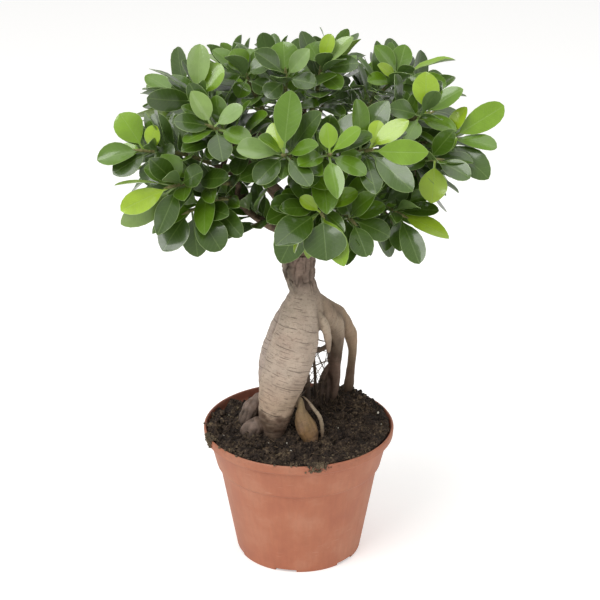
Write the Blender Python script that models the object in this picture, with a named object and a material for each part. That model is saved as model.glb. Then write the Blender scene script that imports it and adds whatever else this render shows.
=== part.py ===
"""Ginseng ficus in a round nursery pot, as separate solids.

+Z is up and the front of the plant faces -Y. The origin is on the ground under the pot's axis. Sizes are in
millimetres and become metres where a mesh is made.
"""

import math
import random

import bmesh
import bpy
from mathutils import Vector
from mathutils.bvhtree import BVHTree

MM = 0.001
SEAT_GAP = 0.3
SEED = 11

# Pot
POT_SIDES = 40
RIM_RADIUS = 75.0
POT_HEIGHT = 107.0
WALL = 1.6
LIP_HEIGHT = 8.0
BAND_TOP_RADIUS = 70.6
BAND_FOOT_RADIUS = 65.0
STEP_HEIGHT = 75.5
BODY_TOP_RADIUS = 62.6
BASE_RADIUS = 49.5
FOOT_HEIGHT = 2.5
FOOT_OUTER_RADIUS = 49.0
FOOT_WIDTH = 5.0
FOOT_GAPS = 6
FOOT_GAP_WIDTH = 16.0
DRAIN_HOLES = 6
DRAIN_RADIUS = 4.5
DRAIN_CIRCLE_RADIUS = 30.0

# Soil
SOIL_LEVEL = 105.6
SOIL_RINGS = 7
SOIL_TOP_REACH = 66.5
CRUMB_HEIGHT = 1.3

# Rootstock, as (x, y, z, radius) down each limb
NECK_TOP = 250.0
NECK_RADIUS = 11.6
NECK = [(2, 2, NECK_TOP, NECK_RADIUS), (2, 2, 238, 11.4), (3, 2, 226, 10.6), (4.5, 2, 214, 12.5), (6, 2, 202, 15)]
MAIN_ROOT = [
    (4, 1, 218, 10.5), (2, -3, 204, 14.5), (-1, -7, 190, 17.0), (-5, -10, 174, 18.3), (-10, -13, 157, 17.8),
    (-14.8, -16, 140, 16.3), (-18.2, -18, 122, 12.8), (-19.2, -19, 107, 8.8), (-20.5, -20, 93, 6.4),
    (-22, -21, 78, 3),
]
RIDGE_ROOT = [
    (1, 5, 214, 8.6), (-5.2, 6, 202, 8.6), (-12, 7, 189, 8.9), (-17.6, 7, 175, 9.0), (-22, 6, 158, 9.0),
    (-23.5, 4, 142, 8.5), (-24, 3, 126, 8), (-25.5, 3, 109, 7), (-27, 4, 94, 4.6), (-28, 5, 80, 2.2),
]
CENTRE_LEG = [
    (8, 3, 208, 11), (18, 9, 197, 11.6), (27, 17, 187, 8.8), (30, 24, 172, 6.2), (28.6, 29, 151, 5.3),
    (28.4, 33, 134, 5.1), (27, 37, 118, 5.6), (25, 40, 102, 5), (24, 42, 88, 3.2), (23, 43, 76, 1.6),
]
OUTER_LEG = [
    (14, 6, 203, 10), (23.5, 14, 196, 9), (30.5, 24, 188, 7.6), (36.4, 32, 177, 6.2), (41.4, 39, 166, 5),
    (43, 42, 152, 4), (42.2, 43.5, 136, 3.8), (40.4, 44.5, 120, 3.7), (38.6, 45, 103, 3.4), (37, 45, 88, 2),
]
FINGER_ROOT = [(8, -3, 210, 5), (15, -6, 201, 4.6), (21, -6, 189, 3.9), (22.8, -5, 179, 2.7), (23, -4.5, 170, 1.3)]
GOLDEN_TUBER = [
    (-2, -17, 143, 3), (1.5, -23, 135, 2.7), (2.4, -26, 126.5, 5.2), (5, -28, 118.5, 7.5), (7.6, -29, 112, 7),
    (10, -31, 103, 5), (12, -33, 90, 2.2),
]
BOW_ROOT = [
    (-1, -14, 138, 1.8), (5, -16.5, 136, 1.4), (10.7, -21.5, 130.5, 1.2), (15.8, -25, 125, 1.1), (18, -27, 118, 0.95),
    (18.2, -28, 107, 0.9), (18, -29, 96, 0.8),
]
LEFT_TUBER = [(-25, 4, 131, 5), (-34, 4, 121.5, 6.6), (-40, 3, 110.5, 7), (-44, 2, 98, 4.6), (-45, 1, 88, 2.4)]
FRONT_TUBER = [
    (-24, -14, 116, 5), (-31, -17, 113, 6.8), (-37, -19, 108, 7.8), (-41, -20, 99, 5.5), (-43, -21, 90, 2.6),
]
STRAY_ROOTS = [
    [(12, 12, 190, 2.6), (11.5, 17, 168, 1.8), (12.5, 22, 148, 1.7), (13.5, 26, 126, 2), (14, 28, 94, 1.6)],
    [(28, 25, 168, 2.2), (19, 19, 162, 1.5), (8, 4, 168, 2.2)],
    [(27, 31, 146, 2.4), (19, 31, 132, 2.6), (17, 30, 116, 3.2), (16, 29, 94, 2)],
    [(26, 33, 136, 2.6), (22, 33, 120, 3.6), (20, 32, 94, 2.4)],
    [(-2, -2, 168, 3), (4, 12, 150, 3.2), (6, 17, 128, 3), (7, 18, 94, 2)],
]
ROOT_CLEARANCE = 0.7

# Crown: shoot tips lie on an ellipsoid, and each shoot starts part of the way out from its heart
CROWN_CENTRE = Vector((0, 2, 341))
CROWN_RADII = Vector((134, 114, 66))
RULE_RADII = Vector((110, 97, 46))
CROWN_HEART = Vector((0, 0, 308))
STEM_SHARE = 0.42
TWIG_RADIUS = 1.9
STEM_TIP_RADIUS = 1.2
STEM_SIDES = 4
TRUNK = [(2, 2, 250.3, 10.8), (2, 2, 262, 9.6), (3, 4, 278, 7.2), (2, 5, 300, 5.4), (1, 5, 324, 3.8)]
LIMBS = [
    [(1, 1, 262, 5.2), (-15, -12, 273, 3.6), (-33, -24, 288, 2.8), (-44, -32, 302, 2.2)],
    [(2, 3, 276, 5.0), (-14, -6, 300, 3.8), (-36, -20, 326, 3.0), (-48, -26, 344, 2.4)],
    [(2, 2, 264, 5.2), (20, -14, 276, 3.8), (38, -32, 292, 3.0), (50, -40, 308, 2.4)],
    [(2, 3, 280, 5.0), (18, -6, 304, 3.8), (38, -16, 330, 3.0), (50, -20, 346, 2.4)],
    [(2, 4, 270, 5.2), (-16, 18, 288, 3.8), (-38, 36, 310, 3.0), (-50, 46, 328, 2.4)],
    [(2, 5, 274, 5.2), (18, 20, 292, 3.8), (38, 38, 314, 3.0), (50, 46, 332, 2.4)],
    [(2, 3, 284, 4.6), (2, -16, 300, 3.6), (4, -34, 320, 3.0), (4, -44, 338, 2.4)],
    [(1, 5, 316, 3.8), (0, 4, 334, 3.2), (2, 2, 352, 2.6), (4, 4, 366, 2.2)],
]

# Leaves
VIEW_TILT = math.radians(22.2)
TOWARDS_VIEWER = Vector((0, -math.cos(VIEW_TILT), math.sin(VIEW_TILT)))
UP_IN_VIEW = Vector((0, math.sin(VIEW_TILT), math.cos(VIEW_TILT)))
PETIOLE_SHARE = 0.2
PETIOLE_HALF_WIDTH = 0.6
LEAF_THICKNESS = 1.3
LEAF_OUTLINE = [(0.3, 0.9), (0.72, 0.94)]
LEAF_CLEARANCE = 0.45
MIN_WIDTH_SHARE = 0.40
GOLDEN_ANGLE = math.radians(137.508)
RULE_SHOOTS = 90
RULE_SHOOT_SPACING = 43.0
RULE_LEAVES = 9
LEAF_TRIES = 14

# Front shoots: (x, z) of the shoot's tip, then each leaf as (right, up, width) of its tip, as the front shows it
FRONT_SHOOTS = [
    [(-70, 386), (2, 37, 16), (15, 25, 19), (-34, 20, 12), (-40, 8, 12), (-20, -8, 16), (12, -12, 16), (-12, 26, 13)],
    [(-108, 350), (-17, 26, 21), (-33, -7, 17), (10, 17, 14), (-22, -17, 18), (22, -4, 16), (4, -26, 18)],
    [(-59, 373), (-14, 24, 15), (22, 13, 14), (-26, 3, 16), (8, -25, 17), (27, -10, 17)],
    [(-87, 330), (-35, -18, 16), (-43, -6, 12), (-36, -27, 13), (-20, -33, 16), (22, 10, 18), (-8, 22, 17)],
    [(-76, 309), (-19, -29, 22), (2, -34, 22), (26, -26, 23), (-26, -6, 19), (14, 16, 17), (28, -4, 17)],
    [(-37, 399), (-9, 17, 17), (18, 9, 14), (-24, 2, 15), (-8, -18, 16), (16, -14, 15)],
    [(-9, 400), (-22, 15, 15), (-2, 24, 20), (11, 26, 14), (22, -7, 16), (-14, -16, 15)],
    [(16, 403), (-9, 16, 17), (7, 22, 11), (23, 20, 13), (27, 2, 15), (14, -18, 16)],
    [(-10, 360), (5, 44, 19), (0, 27, 18), (-32, 3, 16), (-19, -20, 17), (18, -22, 15), (24, 6, 14)],
    [(21, 360), (-2, 22, 13), (21, 17, 13), (5, -31, 14), (-22, -8, 15), (25, -14, 15), (-16, 13, 12)],
    [(16, 317), (3, -33, 30), (-9, 19, 11), (23, 21, 14), (-29, -31, 24), (-14, -30, 9), (24, -30, 19), (-28, -6, 17)],
    [(37, 308), (10, -26, 17), (27, -12, 17), (-8, 19, 16), (24, 10, 15), (-24, -4, 14)],
    [(74, 394), (38, 10, 13), (31, -9, 12), (-21, 20, 14), (-24, 8, 10), (2, 22, 15), (-26, -6, 14), (10, -20, 15)],
    [(88, 375), (0, 30, 19), (26, 17, 15), (-27, 4, 16), (-14, -20, 15), (22, -12, 14)],
    [(105, 358), (38, 23, 15), (33, -7, 14), (12, 22, 12), (27, -29, 20), (-10, -24, 16)],
    [(48, 361), (-4, 29, 14), (27, 20, 14), (42, 0, 14), (29, -29, 18), (-20, -10, 14), (4, -31, 16), (-20, 13, 12)],
    [(94, 348), (-2, -31, 20), (24, -14, 15), (-24, -6, 15), (16, 15, 12)],
    [(71, 307), (0, -27, 16), (13, -36, 17), (34, -18, 17), (8, 18, 11), (-27, 7, 15), (-20, -18, 15)],
]


def finish(name, colour, roughness):
    """A plain finish with its colour as linear red, green and blue."""
    material = bpy.data.materials.new(name)
    material.use_nodes = True
    shader = material.node_tree.nodes["Principled BSDF"]
    shader.inputs["Base Color"].default_value = (*colour, 1.0)
    shader.inputs["Roughness"].default_value = roughness
    shader.inputs["Metallic"].default_value = 0.0
    material.diffuse_color = (*colour, 1.0)
    return material


def solid(name, points, faces, material=None):
    """A mesh object from points in millimetres and faces that point outwards."""
    mesh = bpy.data.meshes.new(name)
    mesh.from_pydata([Vector(point) * MM for point in points], [], faces)
    mesh.update()
    item = bpy.data.objects.new(name, mesh)
    bpy.context.collection.objects.link(item)
    if material:
        mesh.materials.append(material)
    return item


def combine(item, tools, operation, solver="EXACT"):
    """Joins the tools to an item, or cuts them from it, applies that and removes the tools."""
    group = bpy.data.collections.new(item.name + "_tools")
    bpy.context.scene.collection.children.link(group)
    for tool in tools:
        bpy.context.collection.objects.unlink(tool)
        group.objects.link(tool)
    step = item.modifiers.new("combine", "BOOLEAN")
    step.operand_type = "COLLECTION"
    step.collection = group
    step.operation = operation
    step.solver = solver
    graph = bpy.context.evaluated_depsgraph_get()
    result = bpy.data.meshes.new_from_object(item.evaluated_get(graph))
    item.modifiers.clear()
    item.data = result
    for tool in tools:
        bpy.data.objects.remove(tool)
    bpy.data.collections.remove(group)
    return item


def smooth_route(knots, steps):
    """Points on a Catmull-Rom curve through knots of (x, y, z, radius)."""
    knots = [Vector(knot) for knot in knots]
    ends = [knots[0] * 2 - knots[1], *knots, knots[-1] * 2 - knots[-2]]
    route = []
    for a, b, c, d in zip(ends, ends[1:], ends[2:], ends[3:]):
        for step in range(steps):
            t = step / steps
            bend = (c - a) * t + (2 * a - 5 * b + 4 * c - d) * t ** 2 + (3 * b - 3 * c + d - a) * t ** 3
            route.append(b + bend * 0.5)
    route.append(knots[-1])
    return route


def tube_shape(route, sides, grow=0.0):
    """Points and faces of a closed tube with a ring of the route's radius at each of its points."""
    points = []
    last = len(route) - 1
    across = None
    for index, knot in enumerate(route):
        along = (route[min(index + 1, last)].xyz - route[max(index - 1, 0)].xyz).normalized()
        if across is None:
            across = along.orthogonal()
        across = (across - along * across.dot(along)).normalized()
        other = along.cross(across)
        for side in range(sides):
            turn = math.tau * side / sides
            spoke = across * math.cos(turn) + other * math.sin(turn)
            points.append(knot.xyz + spoke * (knot.w + grow))
    faces = [tuple(reversed(range(sides))), tuple(range(last * sides, (last + 1) * sides))]
    for ring in range(last):
        for side in range(sides):
            here = ring * sides + side
            beside = ring * sides + (side + 1) % sides
            faces.append((here, beside, beside + sides, here + sides))
    return points, faces


def tube(name, knots, sides, steps=1, grow=0.0):
    """A closed tube object along a smooth route."""
    return solid(name, *tube_shape(smooth_route(knots, steps), sides, grow))


def turned(name, profile, sides, material):
    """Spins a profile of (radius, height), from the axis round the outside and back to it, into a solid."""
    shape = bmesh.new()
    corners = [shape.verts.new(Vector((radius, 0, height)) * MM) for radius, height in profile]
    edges = [shape.edges.new(pair) for pair in zip(corners, corners[1:])]
    bmesh.ops.spin(shape, geom=corners + edges, cent=(0, 0, 0), axis=(0, 0, 1), angle=math.tau, steps=sides)
    bmesh.ops.remove_doubles(shape, verts=shape.verts, dist=0.01 * MM)
    bmesh.ops.recalc_face_normals(shape, faces=shape.faces)
    mesh = bpy.data.meshes.new(name)
    shape.to_mesh(mesh)
    shape.free()
    mesh.materials.append(material)
    item = bpy.data.objects.new(name, mesh)
    bpy.context.collection.objects.link(item)
    return item


def pot_inside():
    """(radius, height) down the inner wall, from the lip to the floor."""
    return [
        (RIM_RADIUS - 2.2, POT_HEIGHT - 0.6),
        (RIM_RADIUS - 3.4, POT_HEIGHT - LIP_HEIGHT + 2.0),
        (BAND_TOP_RADIUS - WALL, POT_HEIGHT - LIP_HEIGHT - 1.0),
        (BAND_FOOT_RADIUS - WALL, STEP_HEIGHT + 2.0),
        (BODY_TOP_RADIUS - WALL, STEP_HEIGHT - 2.0),
        (BASE_RADIUS - WALL, FOOT_HEIGHT + WALL + 2.5),
        (BASE_RADIUS - WALL - 2.0, FOOT_HEIGHT + WALL),
    ]


def make_pot(material):
    """Lip, tapered band, step, tapered body and a foot ring with gaps, with drain holes in the floor."""
    lip_foot = POT_HEIGHT - LIP_HEIGHT
    outside = [
        (0, FOOT_HEIGHT),
        (FOOT_OUTER_RADIUS - FOOT_WIDTH - 1.0, FOOT_HEIGHT),
        (FOOT_OUTER_RADIUS - FOOT_WIDTH, 0),
        (FOOT_OUTER_RADIUS, 0),
        (BASE_RADIUS, 1.0),
        (BODY_TOP_RADIUS, STEP_HEIGHT - 2.0),
        (BAND_FOOT_RADIUS, STEP_HEIGHT),
        (BAND_TOP_RADIUS, lip_foot - 0.4),
        (RIM_RADIUS - 1.6, lip_foot),
        (RIM_RADIUS - 0.5, lip_foot + 1.0),
        (RIM_RADIUS, POT_HEIGHT - 1.4),
        (RIM_RADIUS - 0.9, POT_HEIGHT),
    ]
    pot = turned("pot", outside + pot_inside() + [(0, FOOT_HEIGHT + WALL)], POT_SIDES, material)
    cutters = []
    ring_radius = FOOT_OUTER_RADIUS - FOOT_WIDTH / 2
    for index in range(FOOT_GAPS):
        turn = math.radians(-102) + math.tau * index / FOOT_GAPS
        bpy.ops.mesh.primitive_cube_add(size=1)
        gap = bpy.context.object
        gap.scale = Vector((FOOT_WIDTH * 3, FOOT_GAP_WIDTH, FOOT_HEIGHT * 2 - 0.6)) * MM
        gap.location = Vector((ring_radius * math.cos(turn), ring_radius * math.sin(turn), 0)) * MM
        gap.rotation_euler.z = turn
        cutters.append(gap)
    for index in range(DRAIN_HOLES):
        turn = math.tau * (index + 0.5) / DRAIN_HOLES
        bpy.ops.mesh.primitive_cylinder_add(vertices=10, radius=DRAIN_RADIUS * MM, depth=WALL * 3 * MM)
        hole = bpy.context.object
        place = (DRAIN_CIRCLE_RADIUS * math.cos(turn), DRAIN_CIRCLE_RADIUS * math.sin(turn), FOOT_HEIGHT + WALL / 2)
        hole.location = Vector(place) * MM
        cutters.append(hole)
    pot = combine(pot, cutters, "DIFFERENCE")
    pot.data.shade_smooth()
    pot.data.set_sharp_from_angle(angle=math.radians(30))
    return pot


def soil_height(x, y):
    """Level of the peat: a mound at the back right, a low one round the main root, a dip at the back left."""
    mound = 8.0 * math.exp(-((x - 54) ** 2 + (y - 42) ** 2) / 1100)
    heap = 2.0 * math.exp(-((x + 26) ** 2 + (y + 22) ** 2) / 500)
    dip = 5.5 * math.exp(-((x + 46) ** 2 + (y - 62) ** 2) / 1600)
    swell = 1.0 * math.sin(x / 9.0 + 1.0) * math.sin(y / 8.0)
    return SOIL_LEVEL + mound + heap - dip + swell


def soil_edge(height):
    """Largest radius of the peat at a height, just inside the pot's wall."""
    walls = pot_inside()
    for (upper_radius, upper), (lower_radius, lower) in zip(walls, walls[1:]):
        if height >= lower:
            share = (height - lower) / (upper - lower)
            return lower_radius + (upper_radius - lower_radius) * min(share, 1.0) - SEAT_GAP * 1.5
    return walls[-1][0] - SEAT_GAP * 1.5


def make_soil(material, root_cutters):
    """Peat that fills the pot, with a crumbly top and a plain hole round each root."""
    draw = random.Random(SEED)
    walls = pot_inside()
    levels = [height for radius, height in walls[2:-1]]
    points = [(0, 0, soil_height(0, 0))]
    for ring in range(1, SOIL_RINGS + 1):
        for side in range(POT_SIDES):
            turn = math.tau * side / POT_SIDES
            reach = SOIL_TOP_REACH * (ring / (SOIL_RINGS - 1)) ** 0.9
            level = soil_height(reach * math.cos(turn), reach * math.sin(turn))
            if ring == SOIL_RINGS:
                level = min(level, POT_HEIGHT - 1.5)
                under_lip = level < walls[1][1]
                reach = min(soil_edge(level), soil_edge(levels[0])) if under_lip else soil_edge(level)
            else:
                level += draw.uniform(-CRUMB_HEIGHT, CRUMB_HEIGHT)
            points.append((reach * math.cos(turn), reach * math.sin(turn), level))
    rim = points[-POT_SIDES:]
    for height in [*levels, FOOT_HEIGHT + WALL + SEAT_GAP]:
        for side in range(POT_SIDES):
            turn = math.tau * side / POT_SIDES
            below = min(height, rim[side][2] - CRUMB_HEIGHT)
            reach = soil_edge(below)
            points.append((reach * math.cos(turn), reach * math.sin(turn), below))
    faces = []
    rings = (len(points) - 1) // POT_SIDES
    for side in range(POT_SIDES):
        beside = (side + 1) % POT_SIDES
        faces.append((0, 1 + side, 1 + beside))
        for ring in range(rings - 1):
            inner = 1 + ring * POT_SIDES
            outer = inner + POT_SIDES
            faces.append((inner + side, outer + side, outer + beside, inner + beside))
    floor = 1 + (rings - 1) * POT_SIDES
    faces.append(tuple(reversed(range(floor, floor + POT_SIDES))))
    soil = solid("soil", points, faces, material)
    return combine(soil, root_cutters, "DIFFERENCE")


def root_limbs(grow=0.0):
    """The rootstock's limbs as overlapping tubes."""
    limbs = [tube("neck", NECK, 12, 1, grow)]
    for name, knots, sides in [("main", MAIN_ROOT, 14), ("ridge", RIDGE_ROOT, 10), ("centre", CENTRE_LEG, 10),
                               ("outer", OUTER_LEG, 10), ("finger", FINGER_ROOT, 8), ("golden", GOLDEN_TUBER, 10),
                               ("bow", BOW_ROOT, 6), ("left", LEFT_TUBER, 10), ("front", FRONT_TUBER, 10)]:
        limbs.append(tube(name, knots, sides, 1, grow))
    for index, knots in enumerate(STRAY_ROOTS):
        limbs.append(tube("stray_%d" % index, knots, 6, 1, grow))
    return limbs


def make_caudex(material):
    """Swollen rootstock and neck, grown as one."""
    first, *others = root_limbs()
    caudex = combine(first, others, "UNION")
    caudex.name = "caudex"
    caudex.data.materials.clear()
    caudex.data.materials.append(material)
    caudex.data.shade_smooth()
    caudex.data.set_sharp_from_angle(angle=math.radians(50))
    return caudex


def crown_depth(x, z):
    """Depth of the crown's front face at a place seen from the front."""
    share = 1 - (x / CROWN_RADII.x) ** 2 - ((z - CROWN_CENTRE.z) / CROWN_RADII.z) ** 2
    return CROWN_CENTRE.y - CROWN_RADII.y * math.sqrt(max(share, 0.02))


def shoot_stem(tip, draw):
    """Route of a young stem from its twig to its tip, bowed upwards."""
    start = tip.lerp(CROWN_HEART, STEM_SHARE)
    middle = tip.lerp(start, 0.5) + Vector((draw.uniform(-2, 2), draw.uniform(-2, 2), 2.5))
    knots = []
    for place, share in ((start, 0.0), (middle, 0.5), (tip, 1.0)):
        radius = TWIG_RADIUS * 0.85 * (1 - share) + STEM_TIP_RADIUS * share
        knots.append(Vector((*place, radius)))
    return knots


def leaf_shape(leaf, grow=0.0):
    """Points and faces of a leaf: a petiole that starts in the stem, and a blade with a raised back.

    Each ring is a low triangle of left edge, right edge and midrib. The midrib bends down from the straight
    line to the tip by the square of the distance.
    """
    root, tip, face, width = leaf
    length = (tip - root).length
    along = (tip - root) / length
    face = (face - along * face.dot(along)).normalized()
    across = along.cross(face)
    droop = length * 0.10
    rings = [(0.0, PETIOLE_HALF_WIDTH), (PETIOLE_SHARE, PETIOLE_HALF_WIDTH * 1.2)]
    for share, spread in LEAF_OUTLINE:
        rings.append((PETIOLE_SHARE + (1 - PETIOLE_SHARE) * share, spread * width / 2))
    points = []
    for share, half in rings:
        middle = root + along * (length * share) + face * (droop * (share - share * share) * 2)
        thick = LEAF_THICKNESS / 2 + grow
        points.append(middle - across * (half + grow) - face * thick)
        points.append(middle + across * (half + grow) - face * thick)
        points.append(middle + face * thick)
    points.append(tip - face * LEAF_THICKNESS / 2)
    last = len(rings) - 1
    faces = [(0, 1, 2)]
    for ring in range(last):
        left, right, top = 3 * ring, 3 * ring + 1, 3 * ring + 2
        faces += [(left, left + 3, right + 3), (left, right + 3, right)]
        faces += [(right, right + 3, top + 3), (right, top + 3, top)]
        faces += [(top, top + 3, left + 3), (top, left + 3, left)]
    left, right, top = 3 * last, 3 * last + 1, 3 * last + 2
    end = len(points) - 1
    faces += [(left, end, right), (right, end, top), (top, end, left)]
    return points, faces


def search_tree(points, faces):
    """A tree of triangles to test for crossings."""
    triangles = []
    for face in faces:
        triangles += [(face[0], face[i], face[i + 1]) for i in range(1, len(face) - 1)]
    return BVHTree.FromPolygons(points, triangles, all_triangles=True)


def blade_tree(leaf):
    """The blade's tree, grown by the clearance, without the petiole."""
    points, faces = leaf_shape(leaf, LEAF_CLEARANCE)
    return search_tree(points, [face for face in faces if min(face) >= 3])


class Growth:
    """Everything that has grown so far, to keep new leaves clear of it."""

    def __init__(self):
        self.parts = []

    def add(self, shoot, centre, reach, tree):
        self.parts.append((shoot, centre, reach, tree))

    def is_clear(self, shoot, leaf):
        """Whether the whole leaf misses other shoots, and its blade misses its own shoot's blades."""
        centre = (leaf[0] + leaf[1]) / 2
        reach = (leaf[1] - leaf[0]).length / 2 + 4
        whole = search_tree(*leaf_shape(leaf, LEAF_CLEARANCE))
        blade = blade_tree(leaf)
        for owner, place, size, tree in self.parts:
            if (place - centre).length > reach + size:
                continue
            mine = blade if owner == shoot else whole
            if mine.overlap(tree):
                return False
        return True

    def add_leaf(self, shoot, leaf):
        centre = (leaf[0] + leaf[1]) / 2
        reach = (leaf[1] - leaf[0]).length / 2 + 4
        self.add(shoot, centre, reach, search_tree(*leaf_shape(leaf)))


def turned_leaf(leaf, attempt, draw):
    """The leaf swung about its root, further at each attempt."""
    root, tip, face, width = leaf
    if attempt == 0:
        return leaf
    reach = (tip - root).length
    swing = Vector([draw.uniform(-1, 1) for axis in range(3)]) * reach * (0.05 + 0.05 * attempt)
    aim = (tip - root + swing).normalized() * reach * (1 - 0.012 * attempt)
    return (root, root + aim, face, width * (1 - 0.012 * attempt))


def front_leaves(tip, stem, rows, draw):
    """Leaves of a front shoot, each aimed so that the front shows its tip where its row says."""
    leaves = []
    for index, (right, up, width) in enumerate(rows):
        station = 1.0 - 0.07 * index
        root = stem[1].xyz.lerp(stem[2].xyz, station)
        flat = Vector((right, 0, 0)) + UP_IN_VIEW * up
        lean = flat.length * draw.uniform(0.02, 0.42)
        end = tip + flat + TOWARDS_VIEWER * lean
        real_width = max(width, MIN_WIDTH_SHARE * (end - root).length)
        roll = math.acos(min(width / real_width, 1.0)) * draw.choice((-1, 1))
        face = TOWARDS_VIEWER * 0.8 + Vector((0, 0, 0.6))
        along = (end - root).normalized()
        face = (face - along * face.dot(along)).normalized()
        face = face * math.cos(roll) + along.cross(face) * math.sin(roll)
        leaves.append((root, end, face, real_width))
    return leaves


def spiral_leaves(stem, first, count, draw):
    """Leaves that climb a stem by the golden angle, steeper and shorter towards its tip."""
    leaves = []
    axis = (stem[2].xyz - stem[0].xyz).normalized()
    side = axis.orthogonal().normalized()
    other = axis.cross(side)
    start = draw.uniform(0, math.tau)
    for index in range(first, first + count):
        station = 1.0 - index / (first + count + 1)
        if station > 0.5:
            root = stem[1].xyz.lerp(stem[2].xyz, station * 2 - 1)
        else:
            root = stem[0].xyz.lerp(stem[1].xyz, station * 2)
        turn = start + GOLDEN_ANGLE * index
        out = side * math.cos(turn) + other * math.sin(turn)
        pitch = math.radians(28 + 50 * (1 - station) + draw.uniform(-8, 8))
        along = axis * math.cos(pitch) + out * math.sin(pitch)
        along = (along + Vector((0, 0, draw.uniform(-0.05, 0.25)))).normalized()
        length = draw.uniform(38, 47) * (0.8 if index < 2 else 1.0)
        face = axis * 0.8 + Vector((0, 0, 0.7))
        leaves.append((root, root + along * length, face, length * draw.uniform(0.40, 0.47)))
    return leaves


def shoot_tips():
    """Tips of all shoots: the front ones as seen, and the rest spread evenly by the golden angle."""
    tips = []
    for (x, z), *rows in FRONT_SHOOTS:
        tips.append((Vector((x, crown_depth(x, z), z)), rows))
    for index in range(RULE_SHOOTS):
        height = 1 - 2 * (index + 0.5) / RULE_SHOOTS
        if height < -0.72:
            continue
        flat = math.sqrt(1 - height * height)
        turn = GOLDEN_ANGLE * index
        ray = Vector((flat * math.cos(turn), flat * math.sin(turn), height))
        tip = CROWN_CENTRE + ray * RULE_RADII
        if min((tip - other).length for other, rows in tips) > RULE_SHOOT_SPACING:
            tips.append((tip, []))
    return tips


def twig_route(start):
    """Route from the nearest limb to where a shoot starts, ending in line with the shoot."""
    choices = []
    for knots in LIMBS:
        for knot in smooth_route(knots, 3)[3:]:
            choices.append(((knot.xyz - start[0].xyz).length, tuple(knot)))
    nearest = Vector(min(choices)[1])
    outward = (start[1].xyz - start[0].xyz).normalized()
    end = start[0].xyz - outward * SEAT_GAP
    before = end - outward * 9
    return [
        Vector((*nearest.xyz, TWIG_RADIUS * 1.1)),
        Vector((*nearest.xyz.lerp(before, 0.55), TWIG_RADIUS * 1.05)),
        Vector((*before, TWIG_RADIUS)),
        Vector((*end, TWIG_RADIUS * 0.9)),
    ]


def make_branches(material, stems, growth):
    """Trunk above the graft, limbs and twigs, as one body, seated on the neck."""
    shapes = [tube_shape(smooth_route(TRUNK, 1), 8)]
    for knots in LIMBS:
        shapes.append(tube_shape(smooth_route(knots, 1), 5))
    for stem in stems:
        shapes.append(tube_shape(twig_route(stem), STEM_SIDES))
    tools = []
    for index, (points, faces) in enumerate(shapes):
        tools.append(solid("wood_%d" % index, points, faces))
        growth.add("branches", CROWN_HEART, 200, search_tree(points, faces))
    branches = combine(tools[0], tools[1:], "UNION")
    branches.name = "branches"
    branches.data.materials.clear()
    branches.data.materials.append(material)
    return branches


def grow_leaves(tips, stems, growth):
    """Leaves of every shoot, front rows first, each kept only where it can be turned clear."""
    draw = random.Random(SEED)
    kept = [[] for tip in tips]
    for index, stem in enumerate(stems):
        shape = tube_shape(stem, STEM_SIDES)
        growth.add(index, stem[1].xyz, (stem[2].xyz - stem[0].xyz).length, search_tree(*shape))
    for index, (tip, rows) in enumerate(tips):
        if rows:
            wanted = front_leaves(tip, stems[index], rows, draw)
            wanted += spiral_leaves(stems[index], 4, 4, draw)
        else:
            wanted = spiral_leaves(stems[index], 0, RULE_LEAVES, draw)
        for leaf in wanted:
            for attempt in range(LEAF_TRIES):
                trial = turned_leaf(leaf, attempt, draw)
                if growth.is_clear(index, trial):
                    growth.add_leaf(index, trial)
                    kept[index].append(trial)
                    break
    return kept


def make_shoot(index, stem, leaves, material):
    """A young stem fused with its leaves."""
    name = "shoot_%02d" % (index + 1)
    item = solid(name, *tube_shape(stem, STEM_SIDES), material)
    blades = [solid(name + "_leaf", *leaf_shape(leaf)) for leaf in leaves]
    return combine(item, blades, "UNION")


def main():
    """Builds the pot, soil, rootstock, branches and shoots."""
    for item in list(bpy.data.objects):
        bpy.data.objects.remove(item)
    plastic = finish("terracotta plastic", (0.50, 0.19, 0.11), 0.55)
    peat = finish("damp peat", (0.020, 0.014, 0.010), 0.95)
    root_bark = finish("pale root bark", (0.38, 0.28, 0.19), 0.75)
    branch_bark = finish("branch bark", (0.10, 0.065, 0.045), 0.85)
    leaf_green = finish("glossy leaf", (0.045, 0.13, 0.025), 0.35)

    make_pot(plastic)
    make_soil(peat, root_limbs(ROOT_CLEARANCE))
    make_caudex(root_bark)

    tips = shoot_tips()
    draw = random.Random(SEED)
    stems = [shoot_stem(tip, draw) for tip, rows in tips]
    growth = Growth()
    make_branches(branch_bark, stems, growth)
    for index, leaves in enumerate(grow_leaves(tips, stems, growth)):
        make_shoot(index, stems[index], leaves, leaf_green)


main()
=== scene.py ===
"""Looks of the ginseng ficus: moulded pot, peat, rootstock, branches and leafy shoots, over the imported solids.

Sizes are in millimetres and become metres where a mesh is made. The front of the plant faces -Y.
"""

import math
import random

import bpy
import numpy as np
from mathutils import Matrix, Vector
from mathutils.bvhtree import BVHTree


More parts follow.
